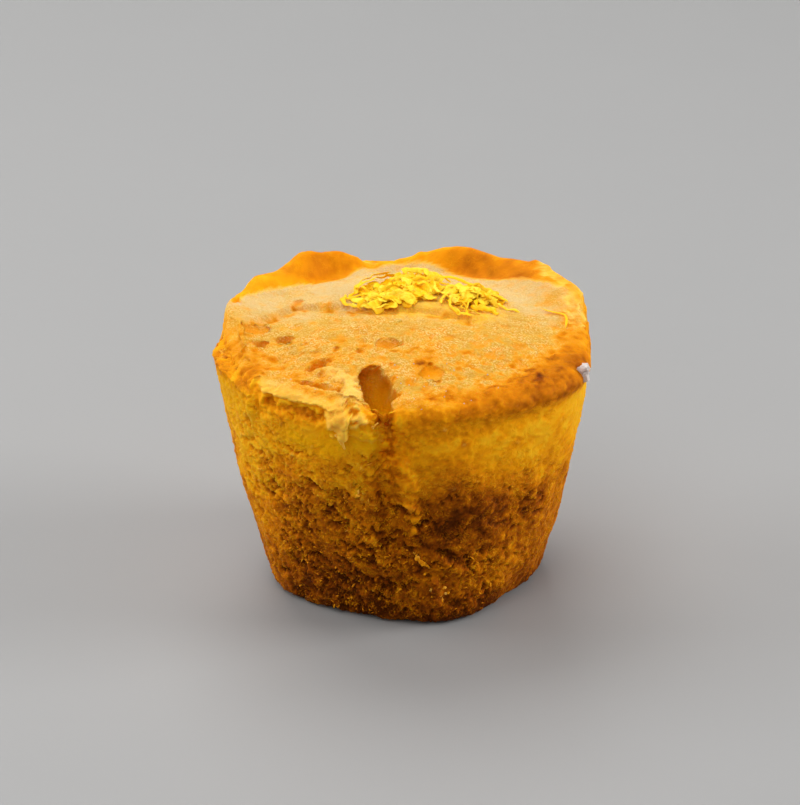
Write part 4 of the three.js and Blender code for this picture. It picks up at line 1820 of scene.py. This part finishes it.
class NodeBuilder:
    """Short ways to add nodes to a node tree."""

    def __init__(self, tree: bpy.types.NodeTree) -> None:
        """Keeps the tree that the nodes go into."""
        self.tree = tree

    def node(
        self, kind: str, links: dict[str | int, Socket | float | tuple], **values: object
    ) -> bpy.types.Node:
        """A new node with its properties set and each named or numbered input linked or given a value.

        Args:
            kind: The node's type.
            links: A socket or a value for each input.
            values: The node's properties.

        Returns:
            The node.
        """
        new = self.tree.nodes.new(kind)
        for key, value in values.items():
            setattr(new, key, value)
        for name, source in links.items():
            socket = new.inputs[name]
            if isinstance(source, Socket):
                self.tree.links.new(source, socket)
            else:
                socket.default_value = source
        return new

    def math(self, way: str, a: Socket | float, b: Socket | float = 0.0) -> Socket:
        """The result of one sum, kept from 0 to 1."""
        return self.node("ShaderNodeMath", {0: a, 1: b}, operation=way, use_clamp=True).outputs[0]

    def times(self, a: Socket | float, b: Socket | float) -> Socket:
        """The product of two numbers, kept from 0 to 1."""
        return self.math("MULTIPLY", a, b)

    def vector(self, way: str, a: Socket, b: Socket | Spot) -> Socket:
        """The result of one sum on two vectors."""
        return self.node("ShaderNodeVectorMath", {0: a, 1: b}, operation=way).outputs[0]

    def push(self, place: Socket, scale: float, detail: float, reach: float) -> Socket:
        """A push by the noise at a place, of up to half the reach each way along each axis, in metres.

        Args:
            place: Where to look.
            scale: The noise's scale.
            detail: The noise's layers.
            reach: How far it pushes.

        Returns:
            The push.
        """
        links = {"Vector": place, "Scale": scale, "Detail": detail}
        color = self.node("ShaderNodeTexNoise", links).outputs["Color"]
        centred = self.vector("SUBTRACT", color, (0.5, 0.5, 0.5))
        return self.node("ShaderNodeVectorMath", {0: centred, "Scale": reach}, operation="SCALE").outputs[0]

    def step(self, value: Socket, low: float, high: float) -> Socket:
        """A smooth step of the value from 0 at low to 1 at high."""
        links = {"Value": value, "From Min": low, "From Max": high}
        return self.node("ShaderNodeMapRange", links, interpolation_type="SMOOTHSTEP").outputs["Result"]

    def noise(self, place: Socket, scale: float, detail: float = 2.0, roughness: float = 0.5) -> Socket:
        """Noise from 0 to 1 over a place in metres."""
        links = {"Vector": place, "Scale": scale, "Detail": detail, "Roughness": roughness}
        return self.node("ShaderNodeTexNoise", links).outputs["Fac"]

    def blend(self, share: Socket | float, a: Socket | Color, b: Socket | Color, way: str = "MIX") -> Socket:
        """Two colours mixed by a share, in the named way.

        Args:
            share: How much of the second colour.
            a: The first colour.
            b: The second colour.
            way: How they are blended.

        Returns:
            The colour.
        """
        given = {"Factor": share}
        new = self.node("ShaderNodeMix", given, data_type="RGBA", blend_type=way)
        for socket, source in ((new.inputs[6], a), (new.inputs[7], b)):
            if isinstance(source, tuple):
                socket.default_value = (*source, 1.0)
            else:
                self.tree.links.new(source, socket)
        return new.outputs[2]

    def ramp(self, share: Socket, stops: dict[float, Color]) -> Socket:
        """A colour that runs through the stops as the share goes from 0 to 1.

        Args:
            share: Where to look.
            stops: A colour for each share.

        Returns:
            The colour.
        """
        new = self.node("ShaderNodeValToRGB", {"Fac": share})
        elements = new.color_ramp.elements
        elements.remove(elements[0])
        for i, (place, color) in enumerate(stops.items()):
            element = elements[0] if i == 0 else elements.new(place)
            element.position = place
            element.color = (*color, 1.0)
        return new.outputs["Color"]


def crumb_grain() -> bpy.types.NodeTree:
    """The shared node group of baked crumb: its height, hollows, flecks, threads and cells over a place.

    Noise pushes the place about; fractal noise of it is the height, its low parts are hollows, and the
    middles of a share of small cells are flecks. Pushed further, the edges between larger cells are the
    threads, the thin bright walls of torn bubbles, and each cell has a random number.

    Returns:
        The group, made once.
    """
    found = bpy.data.node_groups.get("crumb_grain")
    if found:
        return found
    tree = bpy.data.node_groups.new("crumb_grain", "ShaderNodeTree")
    tree.interface.new_socket("Place", in_out="INPUT", socket_type="NodeSocketVector")
    for name in ("Height", "Hollow", "Fleck", "Thread", "Cell"):
        tree.interface.new_socket(name, in_out="OUTPUT", socket_type="NodeSocketFloat")
    build = NodeBuilder(tree)
    place = build.node("NodeGroupInput", {}).outputs["Place"]
    warped = build.vector("ADD", place, build.push(place, 900.0, 2.0, 0.0011))
    coarse = build.noise(warped, 900.0, 5.0, 0.72)
    fine = build.noise(warped, 3400.0, 2.0, 0.6)
    height = build.math("ADD", build.times(coarse, 0.65), build.times(fine, 0.35))
    cells = build.node("ShaderNodeTexVoronoi", {"Vector": warped, "Scale": 2300.0})
    tag = build.node("ShaderNodeSeparateColor", {"Color": cells.outputs["Color"]}).outputs[0]
    middle = build.step(cells.outputs["Distance"], 0.5, 0.25)
    fleck = build.times(middle, build.step(tag, 0.7, 0.8))
    torn = build.vector("ADD", warped, build.push(place, 450.0, 3.0, 0.003))
    walls = build.node("ShaderNodeTexVoronoi", {"Vector": torn, "Scale": 1100.0}, feature="DISTANCE_TO_EDGE")
    thin = build.step(walls.outputs["Distance"], 0.11, 0.02)
    thread = build.times(thin, build.step(build.noise(place, 650.0, 3.0, 0.6), 0.46, 0.58))
    bodies = build.node("ShaderNodeTexVoronoi", {"Vector": torn, "Scale": 1100.0})
    cell = build.node("ShaderNodeSeparateColor", {"Color": bodies.outputs["Color"]}).outputs[1]
    out = build.node("NodeGroupOutput", {})
    hollow = build.step(height, 0.5, 0.4)
    found = {"Height": height, "Hollow": hollow, "Fleck": fleck, "Thread": thread, "Cell": cell}
    for name, socket in found.items():
        tree.links.new(socket, out.inputs[name])
    return tree


class MaterialBuilder(NodeBuilder):
    """A new material with its Principled shader, and short ways to finish it."""

    def __init__(self, name: str) -> None:
        """Starts a material that holds a Principled shader and an output.

        Args:
            name: The material's name.
        """
        self.material = bpy.data.materials.new(name)
        self.material.use_nodes = True
        super().__init__(self.material.node_tree)
        self.shader = self.tree.nodes["Principled BSDF"]

    def constants(self, **values: float | Color) -> None:
        """Sets the shader's own sockets; underscores in a name stand for its spaces."""
        for name, value in values.items():
            socket = self.shader.inputs[name.replace("_", " ")]
            socket.default_value = (*value, 1.0) if name == "Base_Color" else value

    def place(self) -> Socket:
        """The place on the object, in metres."""
        return self.node("ShaderNodeTexCoord", {}).outputs["Object"]

    def mask(self, name: str) -> Socket:
        """A number that the mesh keeps at each vertex."""
        return self.node("ShaderNodeAttribute", {}, attribute_name=name).outputs["Fac"]

    def grain(self) -> bpy.types.Node:
        """The shared crumb grain over the object.

        Returns:
            The group's node.
        """
        group = self.node("ShaderNodeGroup", {}, node_tree=crumb_grain())
        self.tree.links.new(self.place(), group.inputs["Place"])
        return group

    def finish(self, color: Socket, height: Socket, depth: float) -> bpy.types.Material:
        """Links the colour, and a height as bumps `depth` millimetres deep.

        Args:
            color: The base colour.
            height: The bumps' height.
            depth: How deep they are, in millimetres.

        Returns:
            The material.
        """
        self.tree.links.new(color, self.shader.inputs["Base Color"])
        bump = self.node("ShaderNodeBump", {"Height": height, "Strength": 1.0, "Distance": depth * MM})
        self.tree.links.new(bump.outputs["Normal"], self.shader.inputs["Normal"])
        return self.material


@dataclass(frozen=True)
class BakedCrust:
    """Golden baked crust with brown sides and open crumb."""

    browning: tuple[tuple[float, Color], ...] = (
        (0.0, (0.95, 0.46, 0.010)),
        (0.2, (0.93, 0.36, 0.002)),
        (0.45, (0.68, 0.205, 0.001)),
        (0.7, (0.38, 0.092, 0.0006)),
        (0.85, (0.24, 0.050, 0.0004)),
        (1.0, (0.09, 0.017, 0.0002)),
    )
    skin: Color = (0.70, 0.38, 0.055)
    back: Color = (0.75, 0.53, 0.24)
    cream: Color = (1.0, 0.63, 0.11)
    fresh: Color = (0.92, 0.44, 0.001)
    dent: Color = (0.92, 0.31, 0.002)
    hole: Color = (0.9, 0.43, 0.001)
    # painted glow under the zest, standing for light through it
    painted_zest_glow: Color = (1.0, 0.53, 0.04)
    sand: Color = (0.90, 0.64, 0.26)
    speck: Color = (0.95, 0.78, 0.42)
    relief: float = 0.5

    def browned(self, build: MaterialBuilder, baked: Socket, shift: float) -> Socket:
        """The browning colour, with the baked mask shifted lighter or darker."""
        return build.ramp(build.math("ADD", baked, shift), dict(self.browning))

    def crumb(self, build: MaterialBuilder, grain: bpy.types.Node, baked: Socket, rough: Socket) -> Socket:
        """The colour of the wall: browned, or fresh where torn, with the crumb grain's marks; its hollows are
        painted shade.

        Args:
            build: The material's nodes.
            grain: The crumb grain's node.
            baked: How brown the crust is.
            rough: How strong the grain is.

        Returns:
            The colour.
        """
        color = build.blend(build.mask("fresh"), self.browned(build, baked, 0.0), self.fresh)
        marks = (
            (build.step(grain.outputs["Cell"], 0.35, 0.75), 0.35, 0.14),
            # darker in the grain's hollows: painted shade
            (grain.outputs["Hollow"], 0.5, 0.2),
            (grain.outputs["Fleck"], 0.65, -0.3),
            (grain.outputs["Thread"], 0.75, -0.4),
        )
        for mark, strength, shift in marks:
            share = build.times(build.times(mark, rough), strength)
            color = build.blend(share, color, self.browned(build, baked, shift))
        # cream, which holds pale crumb and the painted highlight on raised crumb, on the grain's raised parts
        raised = build.step(build.times(grain.outputs["Hollow"], rough), 0.9, 0.2)
        return build.blend(build.times(build.mask("cream"), raised), color, self.cream)

    def top(self, build: MaterialBuilder, baked: Socket, sand: Socket, mottle: Socket) -> Socket:
        """The top's colour: pale sandy skin, warm in clouds, browned, yellow at dents and in a painted zest
        glow.

        The back, where the crust is creamy, has less of the sand's contrast.

        Args:
            build: The material's nodes.
            baked: How brown the crust is.
            sand: Fine noise.
            mottle: Coarser noise.

        Returns:
            The colour.
        """
        cream = build.mask("cream")
        cloud = build.noise(build.place(), 320.0, 3.0, 0.6)
        warm = build.times(build.math("SUBTRACT", 1.0, cream), build.step(cloud, 0.5, 0.72))
        pale = build.blend(cream, self.skin, self.back)
        pale = build.blend(build.times(warm, 0.5), pale, self.dent)
        sandy = build.times(build.step(sand, 0.5, 0.6), build.step(cloud, 0.3, 0.6))
        calm = build.math("SUBTRACT", 0.85, build.times(cream, 0.5))
        pale = build.blend(build.times(sandy, calm), pale, self.sand)
        tinted = build.blend(1.0, pale, self.speck, "MULTIPLY")
        for specks in (build.step(sand, 0.48, 0.38), build.step(mottle, 0.5, 0.36)):
            pale = build.blend(build.times(specks, calm), pale, tinted)
        pale = build.blend(build.step(baked, 0.0, 0.42), pale, self.browned(build, baked, 0.0))
        pale = build.blend(build.times(build.mask("pore"), 0.9), pale, self.dent)
        # yellow glow painted round the zest, lifting the shade under it
        return build.blend(build.mask("painted_zest_glow"), pale, self.painted_zest_glow)

    def material(self) -> bpy.types.Material:
        """The crust's material: colours by browning and pores, fine grain in colour and bump.

        Returns:
            The material.
        """
        build = MaterialBuilder("baked_crust")
        build.constants(
            Roughness=0.6, Specular_IOR_Level=0.04, Subsurface_Weight=0.3, Subsurface_Radius=(1.5, 0.5, 0.1),
            Subsurface_Scale=MM,
        )
        grain = build.grain()
        opened, top, baked = (build.mask(name) for name in ("open", "top_skin", "baked"))
        rough = build.math("ADD", build.times(opened, 0.85), 0.15)
        sand = build.noise(build.place(), 3900.0, 3.0, 0.65)
        mottle = build.noise(build.place(), 1200.0, 4.0, 0.65)
        color = build.blend(top, self.crumb(build, grain, baked, rough), self.top(build, baked, sand, mottle))
        color = build.blend(build.times(build.mask("deep"), 0.7), color, self.hole)
        threads = build.times(grain.outputs["Thread"], 0.3)
        relief = build.math("ADD", grain.outputs["Height"], threads)
        wall = build.times(rough, build.math("SUBTRACT", 1.0, top))
        gritty = build.times(build.math("ADD", build.times(mottle, 0.5), sand), 0.6)
        height = build.times(relief, wall)
        height = build.math("ADD", height, build.times(gritty, top))
        return build.finish(color, height, self.relief)


@dataclass(frozen=True)
class LooseCrumb:
    """Crumb torn from inside the cake, from brown gold to pale yellow."""

    tones: tuple[tuple[float, Color], ...] = (
        (0.0, (0.60, 0.18, 0.001)),
        (0.5, (0.95, 0.38, 0.004)),
        (0.8, (0.97, 0.50, 0.06)),
        (1.0, (0.98, 0.68, 0.15)),
    )
    tint: Color = (0.8, 0.6, 0.3)
    relief: float = 0.25

    def material(self) -> bpy.types.Material:
        """The crumb's material, its colour by the tone of each bit.

        Returns:
            The material.
        """
        build = MaterialBuilder("loose_crumb")
        build.constants(Roughness=0.6, Specular_IOR_Level=0.08)
        grain = build.grain()
        color = build.ramp(build.mask("tone"), dict(self.tones))
        # darker in the grain's hollows: painted shade
        sunk = build.times(grain.outputs["Hollow"], 0.5)
        color = build.blend(sunk, color, build.blend(1.0, color, self.tint, "MULTIPLY"))
        return build.finish(color, grain.outputs["Height"], self.relief)


@dataclass(frozen=True)
class LemonPeel:
    """Fresh lemon zest, saturated yellow and a little glossy."""

    tones: tuple[tuple[float, Color], ...] = (
        (0.0, (1.0, 0.53, 0.002)),
        (0.5, (1.0, 0.61, 0.004)),
        (1.0, (1.0, 0.73, 0.04)),
    )
    tint: Color = (0.98, 0.88, 0.5)
    relief: float = 0.08

    def material(self) -> bpy.types.Material:
        """The zest's material, its colour by the tone of each shred.

        Returns:
            The material.
        """
        build = MaterialBuilder("lemon_peel")
        build.constants(Roughness=0.45, Specular_IOR_Level=0.15)
        color = build.ramp(build.mask("tone"), dict(self.tones))
        spots = build.noise(build.place(), 1500.0, 3.0, 0.6)
        tinted = build.blend(1.0, color, self.tint, "MULTIPLY")
        color = build.blend(build.step(spots, 0.55, 0.35), color, tinted)
        return build.finish(color, build.noise(build.place(), 3000.0, 1.0), self.relief)


@dataclass(frozen=True)
class Sugar:
    """Clear white sugar."""

    color: Color = (0.52, 0.43, 0.38)
    cloudy: Color = (0.66, 0.58, 0.54)
    relief: float = 0.05

    def material(self) -> bpy.types.Material:
        """The sugar's material, glossy and faintly clouded.

        Returns:
            The material.
        """
        build = MaterialBuilder("sugar")
        build.constants(Roughness=0.4, Specular_IOR_Level=0.3)
        cloud = build.noise(build.place(), 1200.0, 2.0)
        return build.finish(build.blend(cloud, self.color, self.cloudy), cloud, self.relief)


@dataclass(frozen=True)
class PaleFloor:
    """The floor's even matt grey, with a faint change over it."""

    color: Color = (0.31, 0.305, 0.30)
    cloudy: Color = (0.25, 0.25, 0.25)
    relief: float = 0.05

    def material(self) -> bpy.types.Material:
        """The floor's material.

        Returns:
            The material.
        """
        build = MaterialBuilder("pale_floor")
        build.constants(Roughness=0.6)
        cloud = build.noise(build.place(), 30.0, 3.0)
        shade = build.blend(build.times(cloud, 0.15), self.color, self.cloudy)
        return build.finish(shade, cloud, self.relief)


# ---- The studio ----


@dataclass(frozen=True)
class Lamp:
    """A square area lamp: its name, its place and side in metres, and its power in watts."""

    name: str
    at: Spot
    size: float
    power: float

    def build(self, facing: Spot) -> None:
        """Adds the lamp, turned to face a place.

        Args:
            facing: The place that it faces, in metres.
        """
        light = bpy.data.lights.new(self.name, "AREA")
        light.size = self.size
        light.energy = self.power
        made = bpy.data.objects.new(self.name, light)
        made.location = self.at
        made.rotation_euler = (Vector(facing) - Vector(self.at)).to_track_quat("-Z", "Y").to_euler()
        bpy.context.scene.collection.objects.link(made)


@dataclass(frozen=True)
class Studio:
    """A pale floor, soft light from behind and above, and the camera; lengths here are metres."""

    floor_half: float = 4.0
    lamps: tuple[Lamp, ...] = (
        Lamp("key_from_behind", (-0.12, 0.36, 0.62), 0.5, 3.1),
        Lamp("soft_overhead", (-0.15, -0.35, 0.7), 0.4, 1.4),
        Lamp("rim_from_left", (-0.6, 0.1, 0.3), 0.4, 2.4),
        Lamp("rim_from_right", (0.62, 0.0, 0.3), 0.3, 3.2),
        Lamp("fill_from_front", (-0.25, -0.65, 0.5), 0.4, 0.85),
    )
    lit: Spot = (0.0, 0.0, 0.02)
    room_color: Color = (0.95, 0.98, 1.0)
    room_strength: float = 0.3
    camera_distance: float = 0.4
    camera_elevation: float = 25.0
    camera_target: float = 0.016
    aim: Spot = (-0.0005, 0.0, 0.024)
    lens: float = 135.0
    sensor: float = 36.0

    def floor(self) -> None:
        """The wide pale floor."""
        corners = np.array([[-1, -1, 0], [1, -1, 0], [1, 1, 0], [-1, 1, 0]]) * self.floor_half / MM
        made = mesh_object("studio_floor", corners, np.array([[0, 1, 2, 3]]))
        made.data.materials.append(PaleFloor().material())

    def light(self) -> None:
        """The lamps and the world's even light."""
        for lamp in self.lamps:
            lamp.build(self.lit)
        world = bpy.data.worlds.new("soft_room")
        world.use_nodes = True
        background = world.node_tree.nodes["Background"]
        background.inputs["Color"].default_value = (*self.room_color, 1.0)
        background.inputs["Strength"].default_value = self.room_strength
        bpy.context.scene.world = world
        bpy.context.scene.view_settings.view_transform = "Standard"

    def camera(self) -> None:
        """The camera, in front of the cake and above it."""
        data = bpy.data.cameras.new("camera")
        data.lens = self.lens
        data.sensor_width = self.sensor
        made = bpy.data.objects.new("camera", data)
        rise = np.radians(self.camera_elevation)
        made.location = (
            0.0,
            -self.camera_distance * np.cos(rise),
            self.camera_target + self.camera_distance * np.sin(rise),
        )
        made.rotation_euler = (Vector(self.aim) - made.location).to_track_quat("-Z", "Y").to_euler()
        bpy.context.scene.collection.objects.link(made)
        bpy.context.scene.camera = made


def main() -> None:
    """Builds the cake, its zest and the studio, hides the imported cake and zest, and hangs each piece on the
    root.
    """
    logging.basicConfig(level=logging.INFO, format="%(message)s")
    maker = CakeSkin()
    skin = maker.build()
    crust = maker.crust(skin)
    zest = ZestTangle().build()
    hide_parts("cake")
    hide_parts("zest")
    pieces = {
        crust: "baked_cake",
        CrumbBits().build(skin): "baked_cake",
        TornEdge().build(): "baked_cake",
        SugarGrains().build(skin): "baked_cake",
        zest: "lemon_zest",
        StrayShred().build(): "lemon_zest",
    }
    for piece, slot in pieces.items():
        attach(piece, "root")
        log.info("%s: %d triangles", piece.name, len(piece.data.polygons))
    studio = Studio()
    studio.floor()
    studio.light()
    studio.camera()


if __name__ == "__main__":
    main()
